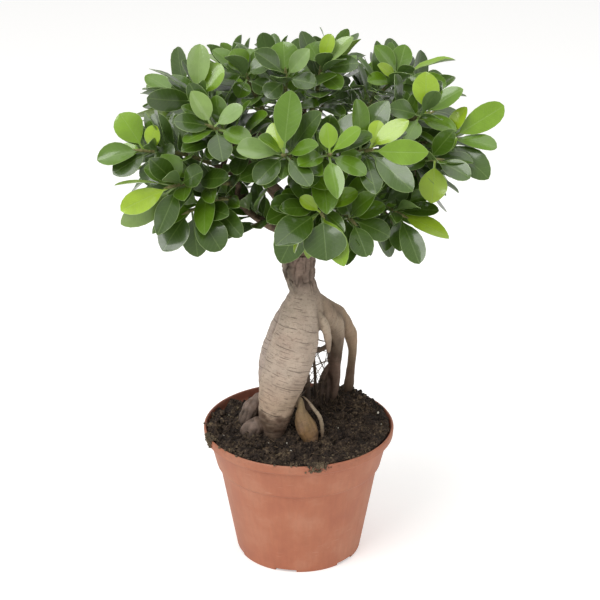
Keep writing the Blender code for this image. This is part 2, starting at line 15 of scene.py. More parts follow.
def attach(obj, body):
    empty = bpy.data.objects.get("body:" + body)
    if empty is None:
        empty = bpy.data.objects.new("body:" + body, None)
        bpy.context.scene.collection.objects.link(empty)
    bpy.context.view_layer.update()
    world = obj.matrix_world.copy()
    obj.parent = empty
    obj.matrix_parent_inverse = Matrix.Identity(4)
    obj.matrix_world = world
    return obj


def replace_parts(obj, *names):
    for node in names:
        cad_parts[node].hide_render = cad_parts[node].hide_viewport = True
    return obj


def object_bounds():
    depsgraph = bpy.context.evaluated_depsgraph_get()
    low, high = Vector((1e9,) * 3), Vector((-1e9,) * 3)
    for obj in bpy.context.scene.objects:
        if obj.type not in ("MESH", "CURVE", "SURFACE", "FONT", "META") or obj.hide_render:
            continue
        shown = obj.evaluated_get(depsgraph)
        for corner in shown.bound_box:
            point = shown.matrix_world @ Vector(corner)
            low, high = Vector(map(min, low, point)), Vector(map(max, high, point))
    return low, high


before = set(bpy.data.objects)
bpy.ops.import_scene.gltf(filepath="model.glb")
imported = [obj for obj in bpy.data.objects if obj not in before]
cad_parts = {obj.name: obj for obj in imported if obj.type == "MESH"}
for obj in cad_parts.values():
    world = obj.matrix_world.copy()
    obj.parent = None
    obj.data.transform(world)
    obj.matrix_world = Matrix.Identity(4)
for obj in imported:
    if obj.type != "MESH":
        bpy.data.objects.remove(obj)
cad_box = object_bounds()

MM = 0.001
BOX_LOW, BOX_HIGH = (np.array(corner) / MM for corner in cad_box)
SEAT_GAP = 0.3
SEED = 11

# Pot
RIM_RADIUS = 75.0
POT_HEIGHT = 107.0
WALL = 1.6
LIP_HEIGHT = 8.0
BAND_TOP_RADIUS = 70.6
BAND_FOOT_RADIUS = 65.0
STEP_HEIGHT = 75.5
BODY_TOP_RADIUS = 62.6
BASE_RADIUS = 49.5
FOOT_HEIGHT = 2.5
FOOT_OUTER_RADIUS = 49.0
FOOT_WIDTH = 5.0
FOOT_GAPS = 6
FOOT_GAP_WIDTH = 16.0
FOOT_GAP_START = -102
POT_SIDES = 168
DRAIN_SIDES = 28
DRAIN_HOLES = 6
DRAIN_RADIUS = 4.5
DRAIN_CIRCLE_RADIUS = 30.0
SOIL_LEVEL = 105.6
PEAT_REACH = 71.2

# What lies on the peat
CRUMBS = 2600
DRY_CRUMBS = 420
LIP_CRUMBS = (110, 150, 50)
GRIT = 12
FIBRES = 130
# Larger bits of grit that the front shows, as (x, y, z), set down on the peat
SHOWN_GRIT = [(-58, -24, 0), (-33, -34, 0), (-9, -34, 0), (-1, -33, 0), (-6, -50, 0)]

# Rootstock, as (x, y, z, radius) down each limb
NECK = [(2, 2, 250, 11.6), (2, 2, 238, 11.4), (3, 2, 226, 10.6), (4.5, 2, 214, 12.5), (6, 2, 202, 15)]
GRAFT_FLAP = [
    (-3.5, -5, 219, 2.6), (-7.2, -6.5, 228, 2.4), (-9.4, -6.8, 236, 2.3), (-10.8, -6.6, 242, 2.1),
    (-11.8, -6.4, 247, 1.3),
]
MAIN_ROOT = [
    (4, 1, 218, 10.5), (2, -3, 204, 14.5), (-1, -7, 190, 17.0), (-5, -10, 174, 18.3), (-10, -13, 157, 17.8),
    (-14.8, -16, 140, 16.3), (-18.2, -18, 122, 12.8), (-19.2, -19, 107, 8.8), (-20.5, -20, 93, 6.4),
    (-22, -21, 78, 3),
]
RIDGE_ROOT = [
    (1, 5, 214, 8.6), (-5.2, 6, 202, 8.6), (-12, 7, 189, 8.9), (-17.6, 7, 175, 9.0), (-22, 6, 158, 9.0),
    (-23.5, 4, 142, 8.5), (-24, 3, 126, 8), (-25.5, 3, 109, 7), (-27, 4, 94, 4.6), (-28, 5, 80, 2.2),
]
CENTRE_LEG = [
    (8, 3, 208, 11), (18, 9, 197, 11.6), (27, 17, 187, 8.8), (30, 24, 172, 6.2), (28.6, 29, 151, 5.3),
    (28.4, 33, 134, 5.1), (27, 37, 118, 5.6), (25, 40, 102, 5), (24, 42, 88, 3.2), (23, 43, 76, 1.6),
]
OUTER_LEG = [
    (14, 6, 203, 10), (23.5, 14, 196, 9), (30.5, 24, 188, 7.6), (36.4, 32, 177, 6.2), (41.4, 39, 166, 5),
    (43, 42, 152, 4), (42.2, 43.5, 136, 3.8), (40.4, 44.5, 120, 3.7), (38.6, 45, 103, 3.4), (37, 45, 88, 2),
]
FINGER_ROOT = [
    (8, -3, 210, 5), (15, -6, 201, 4.6), (21, -6, 189, 3.9), (22.8, -5, 179, 2.7), (23, -4.5, 170, 1.3),
]
GOLDEN_TUBER = [
    (-2, -17, 143, 3), (1.5, -23, 135, 2.7), (2.4, -26, 126.5, 5.2), (5, -28, 118.5, 7.5), (7.6, -29, 112, 7),
    (10, -31, 103, 5), (12, -33, 90, 2.2),
]
BOW_ROOT = [
    (-1, -14, 138, 1.8), (5, -16.5, 136, 1.4), (10.7, -21.5, 130.5, 1.2), (15.8, -25, 125, 1.1),
    (18, -27, 118, 0.95), (18.2, -28, 107, 0.9), (18, -29, 96, 0.8),
]
LEFT_TUBER = [(-25, 4, 131, 5), (-34, 4, 121.5, 6.6), (-40, 3, 110.5, 7), (-44, 2, 98, 4.6), (-45, 1, 88, 2.4)]
FRONT_TUBER = [
    (-24, -14, 116, 5), (-31, -17, 113, 6.8), (-37, -19, 108, 7.8), (-41, -20, 99, 5.5), (-43, -21, 90, 2.6),
]
STRAY_ROOTS = [
    [(12, 12, 190, 2.6), (11.5, 17, 168, 1.8), (12.5, 22, 148, 1.7), (13.5, 26, 126, 2), (14, 28, 94, 1.6)],
    [(28, 25, 168, 2.2), (19, 19, 162, 1.5), (8, 4, 168, 2.2)],
    [(27, 31, 146, 2.4), (19, 31, 132, 2.6), (17, 30, 116, 3.2), (16, 29, 94, 2)],
    [(26, 33, 136, 2.6), (22, 33, 120, 3.6), (20, 32, 94, 2.4)],
    [(-2, -2, 168, 3), (4, 12, 150, 3.2), (6, 17, 128, 3), (7, 18, 94, 2)],
]

# The rootstock's limbs are tubes of this many sides, fused by a skin of voxels of this size
ROOT_SIDES = 22
SKIN_VOXEL = 0.85
# Thin roots in the arch start between these heights, and rootlets leave the main root at these
ARCH_FOOT, ARCH_TOP = 106, 166
THIN_ROOTS = 36
ROOTLET_HEIGHTS = (183, 170, 164, 158, 147, 139, 134)

# Crown: shoot tips lie on an ellipsoid, and each shoot starts part of the way from its tip to the heart
CROWN_CENTRE = Vector((0, 2, 341))
CROWN_RADII = Vector((134, 114, 66))
RULE_RADII = Vector((110, 97, 46))
CROWN_HEART = Vector((0, 0, 308))
STEM_SHARE = 0.42
TWIG_RADIUS = 1.9
STEM_TIP_RADIUS = 1.2
STEM_SIDES = 4
TRUNK = [(2, 2, 250.3, 10.8), (2, 2, 262, 9.6), (3, 4, 278, 7.2), (2, 5, 300, 5.4), (1, 5, 324, 3.8)]
LIMBS = [
    [(1, 1, 262, 5.2), (-15, -12, 273, 3.6), (-33, -24, 288, 2.8), (-44, -32, 302, 2.2)],
    [(2, 3, 276, 5.0), (-14, -6, 300, 3.8), (-36, -20, 326, 3.0), (-48, -26, 344, 2.4)],
    [(2, 2, 264, 5.2), (20, -14, 276, 3.8), (38, -32, 292, 3.0), (50, -40, 308, 2.4)],
    [(2, 3, 280, 5.0), (18, -6, 304, 3.8), (38, -16, 330, 3.0), (50, -20, 346, 2.4)],
    [(2, 4, 270, 5.2), (-16, 18, 288, 3.8), (-38, 36, 310, 3.0), (-50, 46, 328, 2.4)],
    [(2, 5, 274, 5.2), (18, 20, 292, 3.8), (38, 38, 314, 3.0), (50, 46, 332, 2.4)],
    [(2, 3, 284, 4.6), (2, -16, 300, 3.6), (4, -34, 320, 3.0), (4, -44, 338, 2.4)],
    [(1, 5, 316, 3.8), (0, 4, 334, 3.2), (2, 2, 352, 2.6), (4, 4, 366, 2.2)],
]

# Camera, in metres, with its lens in millimetres
VIEW_TILT = math.radians(22.2)
CAMERA_PLACE = (0.00103, -1.163, 0.686)
LENS = 98.4
SENSOR_WIDTH = 36.0
TOWARDS_VIEWER = Vector((0, -math.cos(VIEW_TILT), math.sin(VIEW_TILT)))
UP_IN_VIEW = Vector((0, math.sin(VIEW_TILT), math.cos(VIEW_TILT)))

# Leaves
PETIOLE_SHARE = 0.2
PETIOLE_HALF_WIDTH = 0.6
LEAF_THICKNESS = 1.3
LEAF_OUTLINE = [(0.3, 0.9), (0.72, 0.94)]
LEAF_CLEARANCE = 0.45
MIN_WIDTH_SHARE = 0.40
GOLDEN_ANGLE = math.radians(137.508)
RULE_SHOOTS = 90
RULE_SHOOT_SPACING = 43.0
RULE_LEAVES = 9
LEAF_TRIES = 14

# Front shoots: (x, z) of the shoot's tip, then (right, up) of each leaf's tip, as the front shows it, and
# its width
FRONT_SHOOTS = [
    [(-70, 386), (2, 37, 16), (15, 25, 19), (-34, 20, 12), (-40, 8, 12), (-20, -8, 16), (12, -12, 16),
     (-12, 26, 13)],
    [(-108, 350), (-17, 26, 21), (-33, -7, 17), (10, 17, 14), (-22, -17, 18), (22, -4, 16), (4, -26, 18)],
    [(-59, 373), (-14, 24, 15), (22, 13, 14), (-26, 3, 16), (8, -25, 17), (27, -10, 17)],
    [(-87, 330), (-35, -18, 16), (-43, -6, 12), (-36, -27, 13), (-20, -33, 16), (22, 10, 18), (-8, 22, 17)],
    [(-76, 309), (-19, -29, 22), (2, -34, 22), (26, -26, 23), (-26, -6, 19), (14, 16, 17), (28, -4, 17)],
    [(-37, 399), (-9, 17, 17), (18, 9, 14), (-24, 2, 15), (-8, -18, 16), (16, -14, 15)],
    [(-9, 400), (-22, 15, 15), (-2, 24, 20), (11, 26, 14), (22, -7, 16), (-14, -16, 15)],
    [(16, 403), (-9, 16, 17), (7, 22, 11), (23, 20, 13), (27, 2, 15), (14, -18, 16)],
    [(-10, 360), (5, 44, 19), (0, 27, 18), (-32, 3, 16), (-19, -20, 17), (18, -22, 15), (24, 6, 14)],
    [(21, 360), (-2, 22, 13), (21, 17, 13), (5, -31, 14), (-22, -8, 15), (25, -14, 15), (-16, 13, 12)],
    [(16, 317), (3, -33, 30), (-9, 19, 11), (23, 21, 14), (-29, -31, 24), (-14, -30, 9), (24, -30, 19),
     (-28, -6, 17)],
    [(37, 308), (10, -26, 17), (27, -12, 17), (-8, 19, 16), (24, 10, 15), (-24, -4, 14)],
    [(74, 394), (38, 10, 13), (31, -9, 12), (-21, 20, 14), (-24, 8, 10), (2, 22, 15), (-26, -6, 14),
     (10, -20, 15)],
    [(88, 375), (0, 30, 19), (26, 17, 15), (-27, 4, 16), (-14, -20, 15), (22, -12, 14)],
    [(105, 358), (38, 23, 15), (33, -7, 14), (12, 22, 12), (27, -29, 20), (-10, -24, 16)],
    [(48, 361), (-4, 29, 14), (27, 20, 14), (42, 0, 14), (29, -29, 18), (-20, -10, 14), (4, -31, 16),
     (-20, 13, 12)],
    [(94, 348), (-2, -31, 20), (24, -14, 15), (-24, -6, 15), (16, 15, 12)],
    [(71, 307), (0, -27, 16), (13, -36, 17), (34, -18, 17), (8, 18, 11), (-27, 7, 15), (-20, -18, 15)],
]

# Green of each leaf of the front shoots: d dark, m middle, b bright, l lime, p pale sage, a painted sheen that
# stands partly for gloss and partly for a paler underside
FRONT_GREENS = [
    "pbdddmd", "bmlddd", "ppddm", "lppddm", "dddmdd", "mddmd", "dmpdd", "mlpdm", "mlpddm", "bbmmmm", "dlbdlbd",
    "dddmd", "bmmlmmd", "lmdmm", "bmldd", "llbdmdm", "lddb", "ddlddd",
]
GREEN_SHARES = {"d": 0.1, "m": 0.4, "b": 0.6, "l": 0.8, "p": 1.0}

# Leaves that hang over the cut neck: root, tip, the way they face, width and green
NECK_LEAVES = [
    (Vector((10.3, -66, 313.8)), Vector((-13.2, -80, 271.5)), Vector((-0.3, -1, 0.3)), 24, 0.12),
    (Vector((9.6, -62, 313.5)), Vector((6.8, -70, 271.0)), Vector((0.1, -1, 0.3)), 13, 0.72),
]

# Leaves tried in the crown's shade on each shoot and each limb, and how often one is turned to find room
INNER_LEAVES = 18
LIMB_LEAVES = 16
INNER_TRIES = 8
# A shaded leaf's tip stays this far inside the solids' box, and a blade ends this far before its solid's tip
BOX_MARGIN = 6.5
TIP_GAP = 0.8
LEAF_SHARPNESS = 55
# A shoot's bud, as (distance past the stem's tip, radius)
BUD = [(0.0, 1.1), (2.5, 1.25), (5.5, 0.8), (8.5, 0.2)]


# Shapes


def smooth_path(knots, steps):
    """Curve through knots: between b and c, with t from 0 to 1, it is
    b + ((c-a)t + (2a-5b+4c-d)t2 + (3b-3c+d-a)t3) / 2."""
    knots = np.array(knots, float)
    ends = np.vstack([2 * knots[0] - knots[1], knots, 2 * knots[-1] - knots[-2]])
    a, b, c, d = (ends[first:len(ends) - 3 + first, None] for first in range(4))
    t = (np.arange(steps) / steps)[None, :, None]
    curve = b + ((c - a) * t + (2 * a - 5 * b + 4 * c - d) * t ** 2 + (3 * b - 3 * c + d - a) * t ** 3) / 2
    return np.vstack([curve.reshape(-1, knots.shape[1]), knots[-1:]])


def unit(vectors):
    """Vectors divided by their lengths."""
    return vectors / np.maximum(np.linalg.norm(vectors, axis=-1, keepdims=True), 1e-9)


def tube_grid(path, sides):
    """Rings along a path of (x, y, z, radius): centre + radius (across cos turn + other sin turn)."""
    centre, radius = path[:, :3], np.maximum(path[:, 3], 0.05)
    along = unit(np.gradient(centre, axis=0))
    level = np.eye(3)[np.argmin(np.abs(along).max(axis=0))]
    across = unit(np.cross(along, level))
    other = np.cross(along, across)
    turn = np.arange(sides) * math.tau / sides
    spoke = across[:, None] * np.cos(turn)[None, :, None] + other[:, None] * np.sin(turn)[None, :, None]
    return centre[:, None] + spoke * radius[:, None, None]


def closed(grid):
    """Points and faces of a closed form from its grid of rings, or of a row of such forms: quads between
    neighbouring rings, and one face on each end."""
    rings, sides = grid.shape[-3:-1]
    ring, side = np.meshgrid(np.arange(rings - 1), np.arange(sides), indexing="ij")
    here = ring * sides + side
    beside = ring * sides + (side + 1) % sides
    quads = np.stack([here, beside, beside + sides, here + sides], axis=-1).reshape(-1, 4)
    start = np.arange(sides)[::-1][None]
    end = (rings - 1) * sides + np.arange(sides)[None]
    points = grid.reshape(-1, 3)
    shift = np.arange(0, len(points), rings * sides)[:, None, None]
    return points, [(group[None] + shift).reshape(-1, group.shape[1]) for group in (quads, start, end)]


def value_noise(places, size, seed):
    """Smooth noise from -1 to 1: random numbers on a lattice of a size, in mm, or one for each axis, blended by
    3s2 - 2s3 in each cell."""
    table = np.random.default_rng(seed).uniform(-1, 1, (32, 32, 32))
    cell = places / size
    low = np.floor(cell).astype(int)
    share = cell - low
    share = share * share * (3 - 2 * share)
    total = np.zeros(len(places))
    for corner in range(8):
        step = np.array([corner & 1, corner >> 1 & 1, corner >> 2])
        weight = np.prod(np.where(step == 1, share, 1 - share), axis=1)
        index = (low + step) % 32
        total += weight * table[index[:, 0], index[:, 1], index[:, 2]]
    return total


def set_mark(mesh, label, values):
    """Puts three numbers on each point of a mesh, as an attribute."""
    mark = mesh.attributes.new(label, "FLOAT_VECTOR", "POINT")
    mark.data.foreach_set("vector", values.astype(np.float32).ravel())


def mesh_piece(name, shape, materials, marks=None, kinds=None, sharp=40):
    """A mesh object from a shape, which is points in millimetres and groups of faces, with its marks. Edges
    sharper than an angle in degrees stay unsmoothed."""
    points, faces = shape
    mesh = bpy.data.meshes.new(name)
    sizes = np.concatenate([np.full(len(group), group.shape[1]) for group in faces])
    corners = np.concatenate([group.ravel() for group in faces])
    mesh.vertices.add(len(points))
    mesh.vertices.foreach_set("co", (points * MM).astype(np.float32).ravel())
    mesh.loops.add(len(corners))
    mesh.loops.foreach_set("vertex_index", corners.astype(np.int32))
    mesh.polygons.add(len(sizes))
    mesh.polygons.foreach_set("loop_start", (np.cumsum(sizes) - sizes).astype(np.int32))
    for material in materials:
        mesh.materials.append(material)
    if kinds is not None:
        mesh.polygons.foreach_set("material_index", kinds.astype(np.int32))
    mesh.update(calc_edges=True)
    for label, values in (marks or {}).items():
        set_mark(mesh, label, values)
    mesh.shade_smooth()
    mesh.set_sharp_from_angle(angle=math.radians(sharp))
    item = bpy.data.objects.new(name, mesh)
    bpy.context.scene.collection.objects.link(item)
    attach(item, "root")
    return item


def apply_modifiers(item):
    """Puts an item's modifiers into its mesh."""
    graph = bpy.context.evaluated_depsgraph_get()
    mesh = bpy.data.meshes.new_from_object(
        item.evaluated_get(graph), preserve_all_data_layers=True, depsgraph=graph)
    item.modifiers.clear()
    item.data = mesh


def joined(shapes):
    """One shape of several laid one after another."""
    faces = []
    first = 0
    for points, groups in shapes:
        faces += [group + first for group in groups]
        first += len(points)
    return np.vstack([points for points, groups in shapes]), faces


def tube(knots, sides, steps=6):
    """A closed tube along a smooth path."""
    return closed(tube_grid(smooth_path(knots, steps), sides))


# Materials


def to_linear(code):
    """Linear red, green and blue of an sRGB hex colour, with full alpha."""
    share = np.array([int(code[index:index + 2], 16) for index in (1, 3, 5)]) / 255
    linear = np.where(share <= 0.04045, share / 12.92, ((share + 0.055) / 1.055) ** 2.4)
    return (*linear.tolist(), 1.0)


def feed(node, parts):
    """Gives a node's properties and sockets their values. A value that is a socket is linked, and so is a node,
    by its output in use."""
    for name, value in parts.items():
        if isinstance(value, bpy.types.Node):
            value = next(socket for socket in value.outputs if socket.enabled)
        if isinstance(value, bpy.types.NodeSocket):
            node.id_data.links.new(value, node.inputs[name])
        elif isinstance(name, str) and hasattr(node, name):
            setattr(node, name, value)
        else:
            node.inputs[name].default_value = value


def add_node(tree, kind, parts=None):
    """Adds a shader node of a kind with its settings and links."""
    node = tree.nodes.new("ShaderNode" + kind)
    feed(node, parts or {})
    return node


def new_material(name, settings):
    """A material, its node tree and its shader, with the shader's settings."""
    material = bpy.data.materials.new(name)
    material.use_nodes = True
    shader = material.node_tree.nodes["Principled BSDF"]
    feed(shader, settings)
    return material, material.node_tree, shader


def ramp_stops(node, stops):
    """Sets a colour ramp's stops from (place, hex colour) pairs."""
    band = node.color_ramp
    for place, code in stops[1:-1]:
        band.elements.new(place).color = to_linear(code)
    band.elements[0].position, band.elements[0].color = stops[0][0], to_linear(stops[0][1])
    band.elements[-1].position, band.elements[-1].color = stops[-1][0], to_linear(stops[-1][1])
    return node


def leaf_material():
    """Living ficus leaf: a thick waxy cuticle over dark green, so the upper side mirrors the light in a soft
    broad gloss, while the underside is paler and matt. The midrib and margin are pale, and side veins show
    faintly."""
    material, tree, shader = new_material("ficus leaf, waxy cuticle", {
        "IOR": 1.45, "Coat Weight": 0.85, "Coat Roughness": 0.13,
    })
    place = add_node(tree, "Attribute", {"attribute_name": "leaf_place"})
    kind = add_node(tree, "Attribute", {"attribute_name": "leaf_kind"})
    across, along, edge = add_node(tree, "SeparateXYZ", {0: place.outputs["Vector"]}).outputs
    # leaf_place is across the leaf, along it and in from its edge, in mm; leaf_kind is 1 on the upper side, the
    # leaf's green, and a number of its own
    upper, tone, number = add_node(tree, "SeparateXYZ", {0: kind.outputs["Vector"]}).outputs
    spot = add_node(tree, "TexCoord").outputs["Object"]
    # The last stop, pale sage, is painted sheen for the leaves marked p, standing partly for gloss and partly
    # for a paler underside
    greens = ramp_stops(add_node(tree, "ValToRGB", {0: tone}), [
        (0.0, "#314a08"), (0.2, "#44620b"), (0.4, "#5b7f0e"), (0.6, "#759a14"), (0.8, "#96b420"),
        (0.88, "#96b420"), (1.0, "#7f9a58"),
    ])
    # Blotches about 9 mm wide
    blotch = add_node(tree, "TexNoise", {"Scale": 110.0, "Detail": 3.0, "Vector": spot})
    light = add_node(tree, "MapRange", {"To Min": 0.78, "To Max": 1.22, 0: blotch})
    green = add_node(tree, "HueSaturation", {"Color": greens, "Value": light})
    # Side veins every 3.4 mm leave the midrib at a slant
    spread = add_node(tree, "Math", {"operation": "ABSOLUTE", 0: across})
    slant = add_node(tree, "Math", {"operation": "MULTIPLY", 1: -0.7, 0: spread})
    climb = add_node(tree, "Math", {"operation": "ADD", 0: along, 1: slant})
    vein = add_node(tree, "Math", {"operation": "PINGPONG", 1: 1.7, 0: climb})
    veins = add_node(tree, "MapRange", {
        "From Min": 0.35, "From Max": 0.0, "interpolation_type": "SMOOTHSTEP", 0: vein})
    # The midrib is about 0.8 mm wide, and the margin is drawn at 0.4 mm, twice the real one, so that it shows
    midrib = add_node(tree, "MapRange", {
        "From Min": 0.6, "From Max": 0.15, "interpolation_type": "SMOOTHSTEP", 0: spread})
    margin = add_node(tree, "MapRange", {
        "From Min": 0.42, "From Max": 0.12, "interpolation_type": "SMOOTHSTEP", 0: edge})
    for line, most, code in ((veins, 0.07, "#86a554"), (midrib, 0.16, "#93ad5e"), (margin, 0.5, "#a3bb72")):
        share = add_node(tree, "Math", {"operation": "MULTIPLY", 1: most, 0: line})
        green = add_node(tree, "Mix", {"data_type": "RGBA", 7: to_linear(code), 0: share, 6: green})
    pale = add_node(tree, "Mix", {"data_type": "RGBA", 0: 0.45, 7: to_linear("#7e9960"), 6: green})
    both = add_node(tree, "Mix", {"data_type": "RGBA", 0: upper, 6: pale, 7: green})
    wax = add_node(tree, "MapRange", {
        "From Min": 0.35, "From Max": 0.65, "To Min": 0.32, "To Max": 0.46, 0: blotch})
    rough = add_node(tree, "Mix", {"data_type": "FLOAT", 2: 0.58, 0: upper, 3: wax})
    # Veins and midrib are sunk into the upper side, over a fine puckering 2 mm wide
    pucker = add_node(tree, "TexNoise", {"Scale": 480.0, "Detail": 2.0, "Vector": spot})
    sunk = add_node(tree, "Math", {"operation": "MULTIPLY", 1: -0.5, 0: veins})
    deep = add_node(tree, "Math", {"operation": "SUBTRACT", 0: sunk, 1: midrib})
    relief = add_node(tree, "Math", {"operation": "ADD", 0: deep, 1: pucker})
    bump = add_node(tree, "Bump", {"Strength": 0.35, "Distance": 0.25 * MM, "Height": relief})
    feed(shader, {"Base Color": both, "Roughness": rough, "Normal": bump})
    return material


def plastic_material():
    """Moulded polypropylene, coloured terracotta: an even matt pink-brown with a chalky bloom, faint vertical
    flow marks, fine scuffs, specks of dried peat over a thin painted shade on the top 9 mm just under the lip,
    and painted shade on the inner wall."""
    material, tree, shader = new_material("moulded polypropylene, terracotta", {"IOR": 1.49})
    spot = add_node(tree, "TexCoord").outputs["Object"]
    # Chalky clouds about 30 mm wide, and flow marks 3 mm wide and 60 mm long
    cloud = add_node(tree, "TexNoise", {"Scale": 33.0, "Detail": 5.0, "Roughness": 0.6, "Vector": spot})
    tall = add_node(tree, "Mapping", {"Scale": (330.0, 330.0, 16.0), "Vector": spot})
    flow = add_node(tree, "TexNoise", {"Scale": 1.0, "Detail": 3.0, "Vector": tall})
    clay = ramp_stops(add_node(tree, "ValToRGB", {0: cloud}), [
        (0.3, "#b0694d"), (0.5, "#b87355"), (0.72, "#c18468"),
    ])
    streak = add_node(tree, "MapRange", {
        "From Min": 0.3, "From Max": 0.7, "To Min": 0.96, "To Max": 1.04, 0: flow})
    streaked = add_node(tree, "HueSaturation", {"Color": clay, "Value": streak})
    # Scuffs: pale scratches 0.5 mm wide where two stretched noises meet
    long = add_node(tree, "Mapping", {
        "Scale": (60.0, 60.0, 700.0), "Rotation": (0.3, 0.5, 0.2), "Vector": spot})
    scratch = add_node(tree, "TexNoise", {"Scale": 1.0, "Detail": 6.0, "Vector": long})
    scuff = add_node(tree, "MapRange", {"From Min": 0.66, "From Max": 0.76, "To Max": 0.28, 0: scratch})
    scuffed = add_node(tree, "Mix", {"data_type": "RGBA", 7: to_linear("#dcb49f"), 0: scuff, 6: streaked})
    # Dried peat clings in specks about 2 mm wide on the top 9 mm, and the same dark brown is laid thinly over
    # all of the top 9 mm as painted shade, growing towards the rim
    height = add_node(tree, "SeparateXYZ", {0: spot}).outputs["Z"]
    top = add_node(tree, "MapRange", {
        "From Min": (POT_HEIGHT - 9) * MM, "From Max": POT_HEIGHT * MM, "To Max": 0.5, 0: height})
    speck = add_node(tree, "TexNoise", {"Scale": 260.0, "Detail": 5.0, "Roughness": 0.7, "Vector": spot})
    cling = add_node(tree, "MapRange", {"From Min": 0.5, "From Max": 0.7, "To Min": 0.35, 0: speck})
    peat_specks_and_painted_shade = add_node(tree, "Math", {"operation": "MULTIPLY", 0: top, 1: cling})
    specked_and_shaded = add_node(tree, "Mix", {"data_type": "RGBA", 7: to_linear("#5b4031"), 0: peat_specks_and_painted_shade, 6: scuffed})
    # Painted shade: the inner wall, whose normal points at the axis, is tinted dark maroon in place of the
    # shadow that falls inside the pot
    normal = add_node(tree, "NewGeometry").outputs["Normal"]
    level = add_node(tree, "VectorMath", {"operation": "MULTIPLY", 1: (1.0, 1.0, 0.0), 0: spot})
    outward = add_node(tree, "VectorMath", {"operation": "DOT_PRODUCT", 0: level, 1: normal})
    inside = add_node(tree, "MapRange", {"From Min": -0.01, "From Max": -0.04, "To Max": 0.62, 0: outward})
    inner_wall_shaded = add_node(tree, "Mix", {"data_type": "RGBA", 7: to_linear("#54271f"), 0: inside, 6: specked_and_shaded})
    rough = add_node(tree, "MapRange", {
        "From Min": 0.3, "From Max": 0.7, "To Min": 0.42, "To Max": 0.56, 0: cloud})
    # Spark-eroded mould grain 0.6 mm wide
    grain = add_node(tree, "TexNoise", {"Scale": 1600.0, "Detail": 2.0, "Vector": spot})
    bump = add_node(tree, "Bump", {"Strength": 0.25, "Distance": 0.08 * MM, "Height": grain})
    feed(shader, {"Base Color": inner_wall_shaded, "Roughness": rough, "Normal": bump})
    return material


def peat_material():
    """Damp potting peat: near-black brown, crumbly and quite matt, with paler dry crumbs and threads."""
    material, tree, shader = new_material("damp potting peat", {"IOR": 1.4, "Roughness": 0.92})
    spot = add_node(tree, "TexCoord").outputs["Object"]
    # Crumbs about 2 mm wide, clods about 12 mm
    crumb = add_node(tree, "TexNoise", {"Scale": 520.0, "Detail": 6.0, "Roughness": 0.7, "Vector": spot})
    clod = add_node(tree, "TexNoise", {"Scale": 85.0, "Detail": 3.0, "Vector": spot})
    total = add_node(tree, "Math", {"operation": "MULTIPLY_ADD", 1: 0.55, 0: clod, 2: crumb})
    brown = ramp_stops(add_node(tree, "ValToRGB", {0: total}), [
        (0.52, "#120e0b"), (0.7, "#271e18"), (0.85, "#44372c"), (1.0, "#7b6a52"),
    ])
    bump = add_node(tree, "Bump", {"Strength": 0.9, "Distance": 1.0 * MM, "Height": crumb})
    feed(shader, {"Base Color": brown, "Normal": bump})
    return material


def plain_bits_material(name, low, high, roughness):
    """Small bits in the peat, whose colour varies from one to the next over a few millimetres."""
    material, tree, shader = new_material(name, {"Roughness": roughness})
    spot = add_node(tree, "TexCoord").outputs["Object"]
    patch = add_node(tree, "TexNoise", {"Scale": 190.0, "Detail": 4.0, "Vector": spot})
    colour = ramp_stops(add_node(tree, "ValToRGB", {0: patch}), [(0.35, low), (0.65, high)])
    bump = add_node(tree, "Bump", {"Strength": 0.5, "Distance": 0.3 * MM, "Height": patch})
    feed(shader, {"Base Color": colour, "Normal": bump})
    return material


